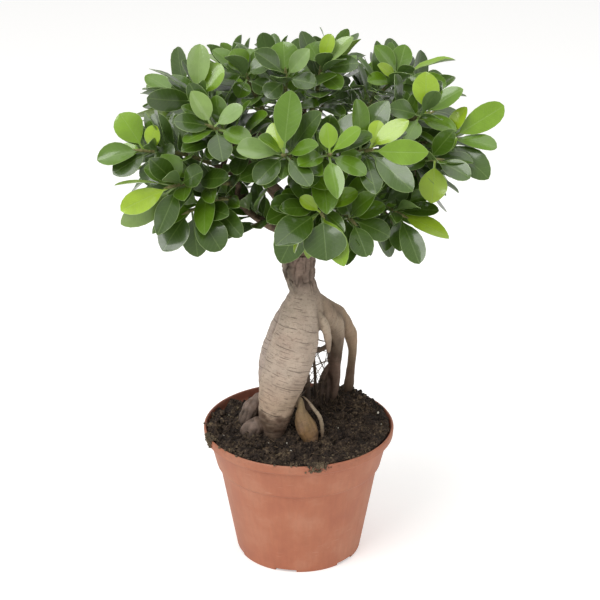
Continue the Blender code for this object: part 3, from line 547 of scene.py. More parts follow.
def root_material():
    """Ficus root bark: dry, thin and pale, drawn tight over the swollen root, so it is matt with fine cross
    wrinkles, short straight cracks in rings round the root, dark pores and pinkish blotches."""
    material, tree, shader = new_material("ficus root bark", {"IOR": 1.4})
    spot = add_node(tree, "TexCoord").outputs["Object"]
    tint = add_node(tree, "Attribute", {"attribute_name": "bark_colour"})
    run = add_node(tree, "Attribute", {"attribute_name": "bark_run"})
    # bark_run is round the limb and along it, both in mm, and how far its bark cracks
    round_it, along, cracking = add_node(tree, "SeparateXYZ", {0: run.outputs["Vector"]}).outputs
    # Wrinkles 1.3 mm apart along the limb and 14 mm long round it
    flat = add_node(tree, "Mapping", {"Scale": (0.07, 0.75, 1.0), "Vector": run.outputs["Vector"]})
    wrinkle = add_node(tree, "TexNoise", {
        "noise_dimensions": "2D", "Scale": 1.0, "Detail": 3.0, "Distortion": 0.4, "Vector": flat})
    patch = add_node(tree, "TexNoise", {"Scale": 90.0, "Detail": 5.0, "Roughness": 0.65, "Vector": spot})
    pore = add_node(tree, "TexNoise", {"Scale": 900.0, "Detail": 3.0, "Vector": spot})
    # Two sets of cracks, in rings 7.6 and 3.2 mm apart, bent by noise and open only in stretches: half the
    # rings' spacing in mm, the crack's width in mm, its depth, the bend in mm, the stretches' size and start
    bend = add_node(tree, "TexNoise", {"Scale": 32.0, "Detail": 3.0, "Vector": spot})
    cracks = []
    for spacing, width, depth, sway, size, start in (
            (3.8, 0.4, 1.0, 5.5, (0.07, 0.2, 1.0), 0.48), (1.6, 0.32, 0.7, 4.0, (0.15, 0.45, 1.0), 0.5)):
        bent = add_node(tree, "Math", {"operation": "MULTIPLY_ADD", 1: sway, 0: bend, 2: along})
        ring = add_node(tree, "Math", {"operation": "PINGPONG", 1: spacing, 0: bent})
        line = add_node(tree, "MapRange", {"From Min": width, "From Max": 0.1, "To Max": depth, 0: ring})
        stretch = add_node(tree, "Mapping", {"Scale": size, "Vector": run.outputs["Vector"]})
        where = add_node(tree, "TexNoise", {
            "noise_dimensions": "2D", "Scale": 1.0, "Detail": 2.0, "Vector": stretch})
        open_here = add_node(tree, "MapRange", {"From Min": start, "From Max": start + 0.1, 0: where})
        cracks.append(add_node(tree, "Math", {"operation": "MULTIPLY", 0: line, 1: open_here}))
    both = add_node(tree, "Math", {"operation": "MAXIMUM", 0: cracks[0], 1: cracks[1]})
    crack = add_node(tree, "Math", {"operation": "MULTIPLY", 0: both, 1: cracking})
    # The bark darkens in patches, wrinkles, pores and cracks
    light = add_node(tree, "MapRange", {
        "From Min": 0.3, "From Max": 0.7, "To Min": 0.84, "To Max": 1.12, 0: patch})
    for relief, start, end, low, high in ((wrinkle, 0.28, 0.42, 0.8, 1.0), (pore, 0.3, 0.45, 0.82, 1.02),
                                          (crack, 0.0, 1.0, 1.0, 0.42)):
        shade = add_node(tree, "MapRange", {
            "From Min": start, "From Max": end, "To Min": low, "To Max": high, 0: relief})
        light = add_node(tree, "Math", {"operation": "MULTIPLY", 0: light, 1: shade})
    # Pinkish blotches about 20 mm wide and brown specks about 3 mm wide
    for scale, start, end, most, code in (
            (50.0, 0.45, 0.7, 0.3, "#b08f7f"), (330.0, 0.58, 0.7, 0.42, "#6d5743")):
        speck = add_node(tree, "TexNoise", {"Scale": scale, "Detail": 4.0, "Roughness": 0.6, "Vector": spot})
        share = add_node(tree, "MapRange", {"From Min": start, "From Max": end, "To Max": most, 0: speck})
        tint = add_node(tree, "Mix", {"data_type": "RGBA", 7: to_linear(code), 0: share, 6: tint})
    bark = add_node(tree, "HueSaturation", {"Color": tint, "Value": light})
    rough = add_node(tree, "MapRange", {
        "From Min": 0.3, "From Max": 0.7, "To Min": 0.6, "To Max": 0.82, 0: patch})
    fine = add_node(tree, "Math", {"operation": "MULTIPLY_ADD", 1: 0.35, 0: pore, 2: wrinkle})
    relief = add_node(tree, "Math", {"operation": "SUBTRACT", 0: fine, 1: crack})
    bump = add_node(tree, "Bump", {"Strength": 0.6, "Distance": 0.6 * MM, "Height": relief})
    feed(shader, {"Base Color": bark, "Roughness": rough, "Normal": bump})
    return material


def wood_material(name, low, high, fine):
    """Ficus twig bark: grey-brown, dull and slightly cracked, with pale breathing pores."""
    material, tree, shader = new_material(name, {"IOR": 1.4, "Roughness": 0.78})
    spot = add_node(tree, "TexCoord").outputs["Object"]
    patch = add_node(tree, "TexNoise", {"Scale": fine, "Detail": 5.0, "Roughness": 0.65, "Vector": spot})
    pore = add_node(tree, "TexVoronoi", {"Scale": fine * 3, "Vector": spot})
    colour = ramp_stops(add_node(tree, "ValToRGB", {0: patch}), [(0.32, low), (0.62, high)])
    dots = add_node(tree, "MapRange", {
        "From Min": 0.12, "From Max": 0.3, "To Min": 1.35, "To Max": 1.0, 0: pore})
    bark = add_node(tree, "HueSaturation", {"Color": colour, "Value": dots})
    bump = add_node(tree, "Bump", {"Strength": 0.7, "Distance": 0.4 * MM, "Height": patch})
    feed(shader, {"Base Color": bark, "Normal": bump})
    return material


# Pot


def pot_inside():
    """(radius, height) down the inner wall, from the lip to the floor."""
    return [
        (RIM_RADIUS - 2.2, POT_HEIGHT - 0.6),
        (RIM_RADIUS - 3.4, POT_HEIGHT - LIP_HEIGHT + 2.0),
        (BAND_TOP_RADIUS - WALL, POT_HEIGHT - LIP_HEIGHT - 1.0),
        (BAND_FOOT_RADIUS - WALL, STEP_HEIGHT + 2.0),
        (BODY_TOP_RADIUS - WALL, STEP_HEIGHT - 2.0),
        (BASE_RADIUS - WALL, FOOT_HEIGHT + WALL + 2.5),
        (BASE_RADIUS - WALL - 2.0, FOOT_HEIGHT + WALL),
    ]


def rounded(corners, fillets):
    """Profile whose corners are parabolas at a fillet's distance: (1-t)2 before + 2t(1-t) corner + t2 after."""
    corners = np.array(corners, float)
    parts = [corners[:1]]
    t = np.linspace(0, 1, 5)[:, None]
    for index in range(1, len(corners) - 1):
        corner = corners[index]
        sides = corners[[index - 1, index + 1]] - corner
        reach = np.linalg.norm(sides, axis=1)
        size = min(fillets[index], *(reach * 0.45))
        before, after = corner + sides / reach[:, None] * size
        parts.append((1 - t) ** 2 * before + 2 * t * (1 - t) * corner + t ** 2 * after)
    return np.vstack([*parts, corners[-1:]])


def around(count, radius, start=0):
    """Points evenly round the axis: (radius cos turn, radius sin turn, 0)."""
    turn = (np.arange(count) + start) * math.tau / count
    return np.stack([np.cos(turn), np.sin(turn), np.zeros(count)], axis=-1) * radius


def make_pot(material):
    """Pot wall as a turned profile: (radius cos turn, radius sin turn, height), with its foot cut by angle."""
    lip_foot = POT_HEIGHT - LIP_HEIGHT
    foot_inside = FOOT_OUTER_RADIUS - FOOT_WIDTH
    # Radius, height and fillet up the outside
    profile = [
        (0.0, FOOT_HEIGHT, 0), (foot_inside - 1.0, FOOT_HEIGHT, 0.5), (foot_inside, 0, 0.5),
        (FOOT_OUTER_RADIUS, 0, 0.4), (BASE_RADIUS, 1.0, 0.6), (BODY_TOP_RADIUS, STEP_HEIGHT - 2.0, 1.2),
        (BAND_FOOT_RADIUS, STEP_HEIGHT, 0.9), (BAND_TOP_RADIUS, lip_foot - 0.4, 0.5),
        (RIM_RADIUS - 1.6, lip_foot, 0.3), (RIM_RADIUS - 0.5, lip_foot + 1, 0.9),
        (RIM_RADIUS, POT_HEIGHT - 1.4, 0.8), (RIM_RADIUS - 0.9, POT_HEIGHT, 0.6),
    ] + [(*corner, 0.8) for corner in pot_inside()] + [(0.0, FOOT_HEIGHT + WALL, 0)]
    outline = rounded([corner[:2] for corner in profile], [corner[2] for corner in profile])[1:-1]
    gap_turns = np.radians(FOOT_GAP_START) + np.arange(FOOT_GAPS) * math.tau / FOOT_GAPS
    half_gap = FOOT_GAP_WIDTH / 2 / (FOOT_OUTER_RADIUS - FOOT_WIDTH / 2)
    edges = [gap_turns + side * half_gap + nudge for side in (-1, 1) for nudge in (-0.002, 0.002)]
    turns = np.concatenate([np.arange(POT_SIDES) * math.tau / POT_SIDES, *edges])
    turns = np.unique(np.round(np.mod(turns, math.tau), 5))
    away = np.abs(np.mod(turns[:, None] - gap_turns + math.pi, math.tau) - math.pi).min(axis=1)
    radius = outline[None, :, 0].repeat(len(turns), axis=0)
    height = outline[None, :, 1].repeat(len(turns), axis=0)
    cut = (away[:, None] < half_gap) & (radius > FOOT_OUTER_RADIUS - FOOT_WIDTH - 2)
    height = np.where(cut, np.maximum(height, FOOT_HEIGHT - 0.3), height)
    grid = np.stack([radius * np.cos(turns)[:, None], radius * np.sin(turns)[:, None], height], axis=-1)
    pot = mesh_piece("moulded_pot", closed(grid.transpose(1, 0, 2)), [material], sharp=35)
    centre = around(DRAIN_HOLES, DRAIN_CIRCLE_RADIUS, 0.5)
    levels = np.array([[0, 0, FOOT_HEIGHT - 1.0], [0, 0, FOOT_HEIGHT + WALL + 1.0]])
    holes = centre[:, None, None] + levels[None, :, None] + around(DRAIN_SIDES, DRAIN_RADIUS)[None, None]
    drill = mesh_piece("drill", closed(holes), [material])
    step = pot.modifiers.new("drain_holes", "BOOLEAN")
    step.object = drill
    step.operation = "DIFFERENCE"
    step.solver = "EXACT"
    apply_modifiers(pot)
    bpy.data.objects.remove(drill)
    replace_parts(pot, "pot")


# Peat


def soil_height(x, y):
    """Level of the peat: a mound at the back right, a low one round the main root, a dip at the back left."""
    mound = 8.0 * np.exp(-((x - 54) ** 2 + (y - 42) ** 2) / 1100)
    heap = 2.0 * np.exp(-((x + 26) ** 2 + (y + 22) ** 2) / 500)
    dip = 5.5 * np.exp(-((x + 46) ** 2 + (y - 62) ** 2) / 1600)
    swell = 1.0 * np.sin(x / 9.0 + 1.0) * np.sin(y / 8.0)
    return SOIL_LEVEL + mound + heap - dip + swell


def peat_surface(x, y):
    """Level of the crumbly top: soil height plus rounded clods, the size without sign of noise 11 and 5 mm
    wide, and plain noise 1.8 mm wide, but no higher than a steep bank that rises from the lip."""
    places = np.stack([x, y, np.zeros_like(x)], axis=-1)
    clods = 5.4 * np.abs(value_noise(places, 11.0, 3)) + 3.6 * np.abs(value_noise(places, 5.0, 4)) - 2.8
    level = soil_height(x, y) + clods + 0.7 * value_noise(places, 1.8, 5)
    return np.minimum(level, POT_HEIGHT - 0.6 + 1.5 * (PEAT_REACH - np.hypot(x, y)))


def make_peat(material):
    """A closed block: its top is a polar grid at peat_surface, and its side follows the pot's inner wall."""
    sides, rings = 240, 84
    turn = np.arange(sides) * math.tau / sides
    radius = np.linspace(0.3, PEAT_REACH, rings)[:, None]
    x, y = radius * np.cos(turn), radius * np.sin(turn)
    level = peat_surface(x.ravel(), y.ravel()).reshape(x.shape)
    top = np.stack([x, y, level], axis=-1)
    below = []
    for wall_radius, height in pot_inside()[2:] + [(3.0, FOOT_HEIGHT + WALL)]:
        reach = np.full(sides, wall_radius - SEAT_GAP * 1.5)
        depth = np.minimum(height + SEAT_GAP, level[-1] - 1.5)
        below.append(np.stack([reach * np.cos(turn), reach * np.sin(turn), depth], axis=-1))
    grid = np.concatenate([top, np.array(below)])[::-1]
    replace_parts(mesh_piece("peat", closed(grid), [material], sharp=180), "soil")


# A 20-sided ball of radius 1
LUMP = np.array([
    (0, 1, 1.6), (0, -1, 1.6), (0, 1, -1.6), (0, -1, -1.6), (1, 1.6, 0), (-1, 1.6, 0), (1, -1.6, 0),
    (-1, -1.6, 0), (1.6, 0, 1), (-1.6, 0, 1), (1.6, 0, -1), (-1.6, 0, -1),
]) / 1.89
LUMP_FACES = np.array([
    (0, 9, 1), (0, 1, 8), (0, 8, 4), (0, 4, 5), (0, 5, 9), (3, 11, 2), (3, 2, 10), (3, 10, 6), (3, 6, 7),
    (3, 7, 11), (9, 7, 1), (1, 7, 6), (1, 6, 8), (8, 6, 10), (8, 10, 4), (4, 10, 2), (4, 2, 5), (5, 2, 11),
    (5, 11, 9), (9, 11, 7),
])


def lumps(places, sizes, flatness, draw):
    """Rough lumps: each is a 20-sided ball with its corners moved by up to a third, stretched and turned."""
    count = len(places)
    corners = LUMP[None] * draw.uniform(0.66, 1.2, (count, 12, 1))
    corners = corners * draw.uniform(flatness, 1.0, (count, 1, 3)) * sizes[:, None, None]
    frames = np.linalg.qr(draw.normal(size=(count, 3, 3)))[0]
    frames = frames * np.sign(np.linalg.det(frames))[:, None, None]
    points = np.einsum("nij,nkj->nki", frames, corners) + places[:, None]
    faces = LUMP_FACES[None] + (np.arange(count) * 12)[:, None, None]
    return points.reshape(-1, 3), [faces.reshape(-1, 3)]


def scattered(count, draw, outermost):
    """Random places spread evenly over the peat, at its surface."""
    radius = outermost * np.sqrt(draw.uniform(0, 1, count))
    turn = draw.uniform(0, math.tau, count)
    x, y = radius * np.cos(turn), radius * np.sin(turn)
    return np.stack([x, y, peat_surface(x, y)], axis=-1)


def threads(starts, lengths, radius, draw):
    """Fibres as 3-sided tubes on curves: start + heading times s + bend times s2 + a lift of s(1-s)."""
    shapes = []
    s = np.linspace(0, 1, 6)[:, None]
    for start, length in zip(starts, lengths):
        turn = draw.uniform(0, math.tau)
        heading = np.array([math.cos(turn), math.sin(turn), draw.uniform(-0.05, 0.12)]) * length
        bend = np.cross(heading, (0, 0, 1)) * draw.uniform(-0.5, 0.5)
        curve = start + heading * s + bend * s ** 2 + np.array([0, 0, 1]) * (length * 0.12) * s * (1 - s)
        curve[:, 2] = np.maximum(curve[:, 2], peat_surface(curve[:, 0], curve[:, 1]) + 0.1)
        path = np.hstack([curve, np.full((6, 1), radius) * draw.uniform(0.6, 1.2)])
        shapes.append(closed(tube_grid(path, 3)))
    return joined(shapes)


def dress_peat(peat):
    """Crumbs, pale grit and fibres on the peat, and the crumbs that lie against the lip."""
    draw = np.random.default_rng(SEED)
    crumbs = scattered(CRUMBS, draw, 71.0)
    crumbs[:, 2] += draw.uniform(-0.5, 0.6, len(crumbs))
    sizes = 0.6 + draw.uniform(0.0, 1.0, len(crumbs)) ** 2.6 * 3.2
    mesh_piece("peat_crumbs", lumps(crumbs, sizes, 0.5, draw), [peat], sharp=20)
    # Drier, paler crumbs: some on the peat, some on the lip, and two clumps, at the left and in front, that
    # reach from the peat (way 0) over the lip (way 0.5) and down its outside
    left, front, loose = LIP_CRUMBS
    turn = np.concatenate([
        draw.normal(3.5, 0.05, left), draw.normal(4.9, 0.05, front), draw.uniform(3.0, 5.6, loose)])
    way = np.concatenate([
        draw.uniform(0, 1.0, left), draw.uniform(0, 1.0, front) ** 1.3, draw.uniform(0, 0.5, loose)])
    out = np.minimum(70.5 + 9.6 * way, RIM_RADIUS + 0.3)
    height = POT_HEIGHT + 0.5 - np.clip(way - 0.5, 0, 1) * np.repeat([13, 11, 0], LIP_CRUMBS)
    lip = np.stack([out * np.cos(turn), out * np.sin(turn), height], axis=-1)
    dry = scattered(DRY_CRUMBS, draw, 69.0)
    dry_peat = plain_bits_material("dry peat", "#33291f", "#74654f", 0.95)
    shape = lumps(np.vstack([dry, lip]), draw.uniform(0.5, 1.7, len(dry) + len(lip)), 0.45, draw)
    mesh_piece("dry_peat_crumbs", shape, [dry_peat], sharp=20)
    grit = plain_bits_material("expanded perlite", "#a89f90", "#d3ccbf", 0.85)
    places = np.vstack([scattered(GRIT, draw, 66.0), SHOWN_GRIT])
    places[GRIT:, 2] = peat_surface(places[GRIT:, 0], places[GRIT:, 1])
    places[:, 2] += 0.4
    shape = lumps(places, draw.uniform(0.6, 1.3, len(places)), 0.3, draw)
    mesh_piece("perlite_grit", shape, [grit], sharp=20)
    bark = plain_bits_material("shredded bark and root fibre", "#382b20", "#806a50", 0.9)
    starts = scattered(FIBRES, draw, 58.0)
    shape = threads(starts, draw.uniform(4, 12, len(starts)), 0.22, draw)
    mesh_piece("peat_fibres", shape, [bark], sharp=180)


# Rootstock


def bark_limbs():
    """Each limb's knots with its colours at the top and at the foot, and the height where they meet."""
    limbs = [
        (NECK, "#7d6c60", "#ab9884", 214), (GRAFT_FLAP, "#8c8072", "#8c8072", 214),
        (MAIN_ROOT, "#bcaa99", "#b09a84", 150), (RIDGE_ROOT, "#beada1", "#a99687", 150),
        (CENTRE_LEG, "#a89580", "#574739", 168), (OUTER_LEG, "#a0896f", "#64513f", 146),
        (FINGER_ROOT, "#b9a792", "#8a7562", 178), (GOLDEN_TUBER, "#7c6a4c", "#8d6c45", 124),
        (BOW_ROOT, "#9a8b76", "#75654f", 118), (LEFT_TUBER, "#86756a", "#655549", 112),
        (FRONT_TUBER, "#7c6d63", "#5c4f45", 112),
    ]
    return limbs + [(knots, "#5c4c3e", "#40342b", 140) for knots in STRAY_ROOTS]


def tinted(colour, code, share):
    """Colours mixed with a hex colour: colour (1 - share) + hex colour share."""
    share = share[:, None]
    return colour * (1 - share) + np.array(to_linear(code))[:3] * share


def limb_marks(knots, spots):
    """For each spot its gap to a limb's surface, its run along the limb and its way round it, in mm."""
    path = smooth_path(knots, 6)
    away = np.linalg.norm(spots[:, None] - path[None, :, :3], axis=2) - path[None, :, 3]
    nearest = np.argmin(away, axis=1)
    lengths = np.append(0, np.cumsum(np.linalg.norm(np.diff(path[:, :3], axis=0), axis=1)))
    out = spots - path[nearest, :3]
    along = unit(np.gradient(path[:, :3], axis=0))[nearest]
    run = lengths[nearest] + np.sum(out * along, axis=1)
    return away[np.arange(len(spots)), nearest], run, np.arctan2(out[:, 0], -out[:, 1]) * path[nearest, 3]


def make_rootstock(material):
    """Limbs fused by a voxel skin, then moved along their normals: noise + rings 0.13 sin(run / 1.15) on what
    is swollen + lengthwise ribs on the legs - grooves where limbs meet - fissures up the neck."""
    limbs = bark_limbs()
    shape = joined([tube(limb[0], ROOT_SIDES) for limb in limbs])
    root = mesh_piece("root_skin", shape, [material])
    skin = root.modifiers.new("skin", "REMESH")
    skin.mode = "VOXEL"
    skin.voxel_size = SKIN_VOXEL * MM
    smooth = root.modifiers.new("smooth", "SMOOTH")
    smooth.factor = 0.5
    smooth.iterations = 3
    apply_modifiers(root)
    mesh = root.data
    count = len(mesh.vertices)
    spots = np.zeros(count * 3, np.float32)
    normals = np.zeros(count * 3, np.float32)
    mesh.vertices.foreach_get("co", spots)
    mesh.vertices.foreach_get("normal", normals)
    spots = spots.reshape(-1, 3).astype(float) / MM
    normals = normals.reshape(-1, 3).astype(float)
    gaps, runs, turns = np.array([limb_marks(limb[0], spots) for limb in limbs]).transpose(1, 0, 2)
    tints = []
    for _, top, foot, meet in limbs:
        tints.append(tinted(np.array(to_linear(foot))[:3], top, np.clip((spots[:, 2] - meet) / 24 + 0.5, 0, 1)))
    # Each limb's share in the bark at a spot falls by 1 / e for every 1.2 mm from its surface
    weight = np.exp(-(gaps - gaps.min(axis=0)) / 1.2)
    weight /= weight.sum(axis=0)
    colour = np.einsum("ln,lnc->nc", weight, np.array(tints))
    owner = np.argmin(gaps, axis=0)
    run = runs[owner, np.arange(count)]
    turn = turns[owner, np.arange(count)]
    bark = np.stack([turn, run, np.zeros(count)], axis=-1)
    main, ridge, centre_leg, outer_leg, finger, golden, bow, left, front = weight[2:11]
    swollen = main + ridge + 0.5 * finger + 0.6 * bow
    ordered = np.sort(gaps, axis=0)
    groove = np.clip(1 - (ordered[1] - ordered[0]) / 2.4, 0, 1) * np.clip((214 - spots[:, 2]) / 12, 0, 1)
    neck = np.clip((spots[:, 2] - 217) / 9, 0, 1)
    legs = centre_leg + outer_leg + weight[11:].sum(axis=0)
    cracking = np.clip(swollen * (1 - groove) * (1 - neck), 0, 1)
    ribs = value_noise(spots, (2.6, 2.6, 17), 24)
    fissure = np.clip(1 - np.abs(value_noise(bark, (2.4, 9, 1), 27)) / 0.24, 0, 1) * neck
    flakes = (value_noise(spots, 4.4, 29) + 0.6 * value_noise(spots, 1.9, 35)) * neck
    ring_wave = 0.13 * np.sin(run / 1.15 + 4.0 * value_noise(spots, 11, 30)) * swollen * (1 - neck)
    shift = 0.85 * value_noise(spots, 15, 25) + 0.42 * value_noise(spots, 6, 26) - 1.1 * groove + ring_wave
    shift += 0.42 * ribs * np.clip(legs, 0, 1) * (1 - neck) + 0.5 * flakes - 1.0 * fissure
    # The tubers are knobbly, with lengthwise creases, and dusted with peat
    tubers = 0.5 * golden + left + front
    crease = np.clip(1 - np.abs(value_noise(bark, (4.2, 15, 1), 38)) / 0.3, 0, 1)
    colour = colour * (1 + 0.3 * np.clip(-flakes, 0, 1))[:, None]
    shift += tubers * (0.8 * value_noise(spots, 5.5, 36) + 0.35 * value_noise(spots, 2.4, 37) - 0.8 * crease)
    dust = np.clip(0.3 + 1.5 * value_noise(spots, 4.5, 39), 0, 1) * tubers * 0.6 + 0.4 * crease * tubers
    colour = tinted(colour, "#33291f", np.clip(dust, 0, 1))
    # Painted shade: the bark is darkened in the grooves where limbs meet, where shade would fall; it is also
    # darker in the neck's fissures and on its raised flakes
    dark = np.clip(0.55 * groove + 0.8 * fissure + 0.3 * np.clip(flakes, 0, 1), 0, 1)
    colour = tinted(colour, "#3b2f26", dark)
    spots = spots + normals * shift[:, None]
    # A brown stain with a ragged upper edge where the main root was once buried, and wet soil at every foot
    ragged = 129 - 0.15 * (spots[:, 0] + 18) + 3.5 * value_noise(spots, 5, 31) + 1.8 * value_noise(spots, 2, 33)
    once_buried = np.clip((ragged - spots[:, 2]) / 4, 0, 1) * (main + ridge) * 0.95
    once_buried *= 0.85 + 0.25 * value_noise(spots, 3, 34)
    colour = tinted(colour, "#412c1b", once_buried)
    buried = np.clip((soil_height(spots[:, 0], spots[:, 1]) + 7 - spots[:, 2]) / 9, 0, 1)
    colour = tinted(colour, "#2a2019", buried * (0.8 + 0.3 * value_noise(spots, 4, 28)) * 0.8)
    mesh.vertices.foreach_set("co", (spots * MM).astype(np.float32).ravel())
    set_mark(mesh, "bark_colour", colour)
    set_mark(mesh, "bark_run", np.stack([turn, run, cracking], axis=-1))
    mesh.materials.clear()
    mesh.materials.append(material)
    mesh.shade_smooth()
    mesh.update()
    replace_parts(root, "caudex")


def make_fine_roots(material):
    """Thin roots in the arch, between two thicker ones or down to the peat, and rootlets from the main root, on
    the curve start (1-s)2 + 2 middle s(1-s) + end s2."""
    draw = np.random.default_rng(SEED + 5)
    carriers = np.vstack([smooth_path(knots, 4)[:, :3] for knots in [*STRAY_ROOTS, CENTRE_LEG[3:8]]])
    carriers = carriers[(carriers[:, 2] > ARCH_FOOT) & (carriers[:, 2] < ARCH_TOP)]
    ends = []
    for index in range(THIN_ROOTS):
        start, end = carriers[draw.integers(len(carriers), size=2)]
        if index % 3 == 0:
            end = np.array([start[0] + draw.uniform(-7, 7), start[1] + draw.uniform(-7, 7), SOIL_LEVEL])
        ends.append((start, end, draw.uniform(0.18, 0.45), 8.0))
    trunk = smooth_path(MAIN_ROOT, 6)
    for height in ROOTLET_HEIGHTS:
        knot = trunk[np.argmin(np.abs(trunk[:, 2] - height))]
        start = knot[:3] + np.array([0.94, 0.34, 0.0]) * knot[3] * 0.95
        goal = np.array(FINGER_ROOT[3][:3])
        if height < FINGER_ROOT[4][2] + 5:
            goal = carriers[np.argmin(np.abs(carriers[:, 2] - height + 6))]
        ends.append((start, goal, draw.uniform(0.35, 0.7), 4.0))
    shapes = []
    s = np.linspace(0, 1, 9)[:, None]
    for start, end, radius, sway in ends:
        middle = (start + end) / 2 + draw.uniform(-sway, sway, 3)
        curve = start * (1 - s) ** 2 + 2 * middle * s * (1 - s) + end * s ** 2
        shapes.append(closed(tube_grid(np.hstack([curve, radius * (1 - 0.4 * s)]), 5)))
    mesh_piece("fine_roots", joined(shapes), [material], sharp=180)


# Where shoots and leaves grow, by the solids' own rule and draws


def smooth_route(knots, steps):
    """Points on a Catmull-Rom curve through knots of (x, y, z, radius)."""
    knots = [Vector(knot) for knot in knots]
    ends = [knots[0] * 2 - knots[1], *knots, knots[-1] * 2 - knots[-2]]
    route = []
    for a, b, c, d in zip(ends, ends[1:], ends[2:], ends[3:]):
        for step in range(steps):
            t = step / steps
            bend = (c - a) * t + (2 * a - 5 * b + 4 * c - d) * t ** 2 + (3 * b - 3 * c + d - a) * t ** 3
            route.append(b + bend * 0.5)
    route.append(knots[-1])
    return route


def tube_shape(route, sides, grow=0.0):
    """Points and faces of a closed tube with a ring of the route's radius at each of its points."""
    points = []
    last = len(route) - 1
    across = None
    for index, knot in enumerate(route):
        along = (route[min(index + 1, last)].xyz - route[max(index - 1, 0)].xyz).normalized()
        if across is None:
            across = along.orthogonal()
        across = (across - along * across.dot(along)).normalized()
        other = along.cross(across)
        for side in range(sides):
            turn = math.tau * side / sides
            spoke = across * math.cos(turn) + other * math.sin(turn)
            points.append(knot.xyz + spoke * (knot.w + grow))
    faces = [tuple(reversed(range(sides))), tuple(range(last * sides, (last + 1) * sides))]
    for ring in range(last):
        for side in range(sides):
            here = ring * sides + side
            beside = ring * sides + (side + 1) % sides
            faces.append((here, beside, beside + sides, here + sides))
    return points, faces


def crown_depth(x, z):
    """Depth of the crown's front face at a place seen from the front."""
    share = 1 - (x / CROWN_RADII.x) ** 2 - ((z - CROWN_CENTRE.z) / CROWN_RADII.z) ** 2
    return CROWN_CENTRE.y - CROWN_RADII.y * math.sqrt(max(share, 0.02))


def shoot_stem(tip, draw):
    """Route of a young stem from its twig to its tip, bowed upwards."""
    start = tip.lerp(CROWN_HEART, STEM_SHARE)
    middle = tip.lerp(start, 0.5) + Vector((draw.uniform(-2, 2), draw.uniform(-2, 2), 2.5))
    return [Vector((*place, TWIG_RADIUS * 0.85 * (1 - share) + STEM_TIP_RADIUS * share))
            for place, share in ((start, 0.0), (middle, 0.5), (tip, 1.0))]


def leaf_shape(leaf, grow=0.0):
    """Points and faces of a plain leaf, as the solids have it, to test whether it has room."""
    root, tip, face, width = leaf
    length = (tip - root).length
    along = (tip - root) / length
    face = (face - along * face.dot(along)).normalized()
    across = along.cross(face)
    droop = length * 0.10
    rings = [(0.0, PETIOLE_HALF_WIDTH), (PETIOLE_SHARE, PETIOLE_HALF_WIDTH * 1.2)]
    for share, spread in LEAF_OUTLINE:
        rings.append((PETIOLE_SHARE + (1 - PETIOLE_SHARE) * share, spread * width / 2))
    points = []
    for share, half in rings:
        middle = root + along * (length * share) + face * (droop * (share - share * share) * 2)
        thick = LEAF_THICKNESS / 2 + grow
        points.append(middle - across * (half + grow) - face * thick)
        points.append(middle + across * (half + grow) - face * thick)
        points.append(middle + face * thick)
    points.append(tip - face * LEAF_THICKNESS / 2)
    faces = [(0, 1, 2)]
    end = len(points) - 1
    for ring in range(len(rings)):
        left, right, top = 3 * ring, 3 * ring + 1, 3 * ring + 2
        for here, beside in ((left, right), (right, top), (top, left)):
            if top + 1 < end:
                faces += [(here, here + 3, beside + 3), (here, beside + 3, beside)]
            else:
                faces.append((here, end, beside))
    return points, faces


def search_tree(points, faces):
    """A tree of triangles to test for crossings."""
    triangles = []
    for face in faces:
        triangles += [(face[0], face[i], face[i + 1]) for i in range(1, len(face) - 1)]
    return BVHTree.FromPolygons(points, triangles, all_triangles=True)


def leaf_ball(leaf):
    """Centre and radius of a ball round a leaf."""
    return (leaf[0] + leaf[1]) / 2, (leaf[1] - leaf[0]).length / 2 + 4


class Growth:
    """Everything that has grown so far, to keep new leaves clear of it."""

    def __init__(self):
        self.parts = []

    def add(self, shoot, centre, reach, tree):
        self.parts.append((shoot, centre, reach, tree))

    def is_clear(self, shoot, leaf):
        """Whether the whole leaf misses other shoots, and its blade misses its own shoot's blades."""
        centre, reach = leaf_ball(leaf)
        points, faces = leaf_shape(leaf, LEAF_CLEARANCE)
        whole = search_tree(points, faces)
        # The blade is the leaf without the first ring of its petiole
        blade = search_tree(points, [face for face in faces if min(face) >= 3])
        for owner, place, size, tree in self.parts:
            if (place - centre).length > reach + size:
                continue
            mine = blade if owner == shoot else whole
            if mine.overlap(tree):
                return False
        return True

    def add_leaf(self, shoot, leaf):
        self.add(shoot, *leaf_ball(leaf), search_tree(*leaf_shape(leaf)))


def turned_leaf(leaf, attempt, draw):
    """The leaf swung about its root, further at each attempt."""
    root, tip, face, width = leaf
    if attempt == 0:
        return leaf
    reach = (tip - root).length
    swing = Vector([draw.uniform(-1, 1) for axis in range(3)]) * reach * (0.05 + 0.05 * attempt)
    aim = (tip - root + swing).normalized() * reach * (1 - 0.012 * attempt)
    return (root, root + aim, face, width * (1 - 0.012 * attempt))


def front_leaves(tip, stem, rows, draw):
    """Leaves of a front shoot, each aimed so that the front shows its tip where its row says."""
    leaves = []
    for index, (right, up, width) in enumerate(rows):
        station = 1.0 - 0.07 * index
        root = stem[1].xyz.lerp(stem[2].xyz, station)
        flat = Vector((right, 0, 0)) + UP_IN_VIEW * up
        lean = flat.length * draw.uniform(0.02, 0.42)
        end = tip + flat + TOWARDS_VIEWER * lean
        real_width = max(width, MIN_WIDTH_SHARE * (end - root).length)
        roll = math.acos(min(width / real_width, 1.0)) * draw.choice((-1, 1))
        face = TOWARDS_VIEWER * 0.8 + Vector((0, 0, 0.6))
        along = (end - root).normalized()
        face = (face - along * face.dot(along)).normalized()
        face = face * math.cos(roll) + along.cross(face) * math.sin(roll)
        leaves.append((root, end, face, real_width))
    return leaves


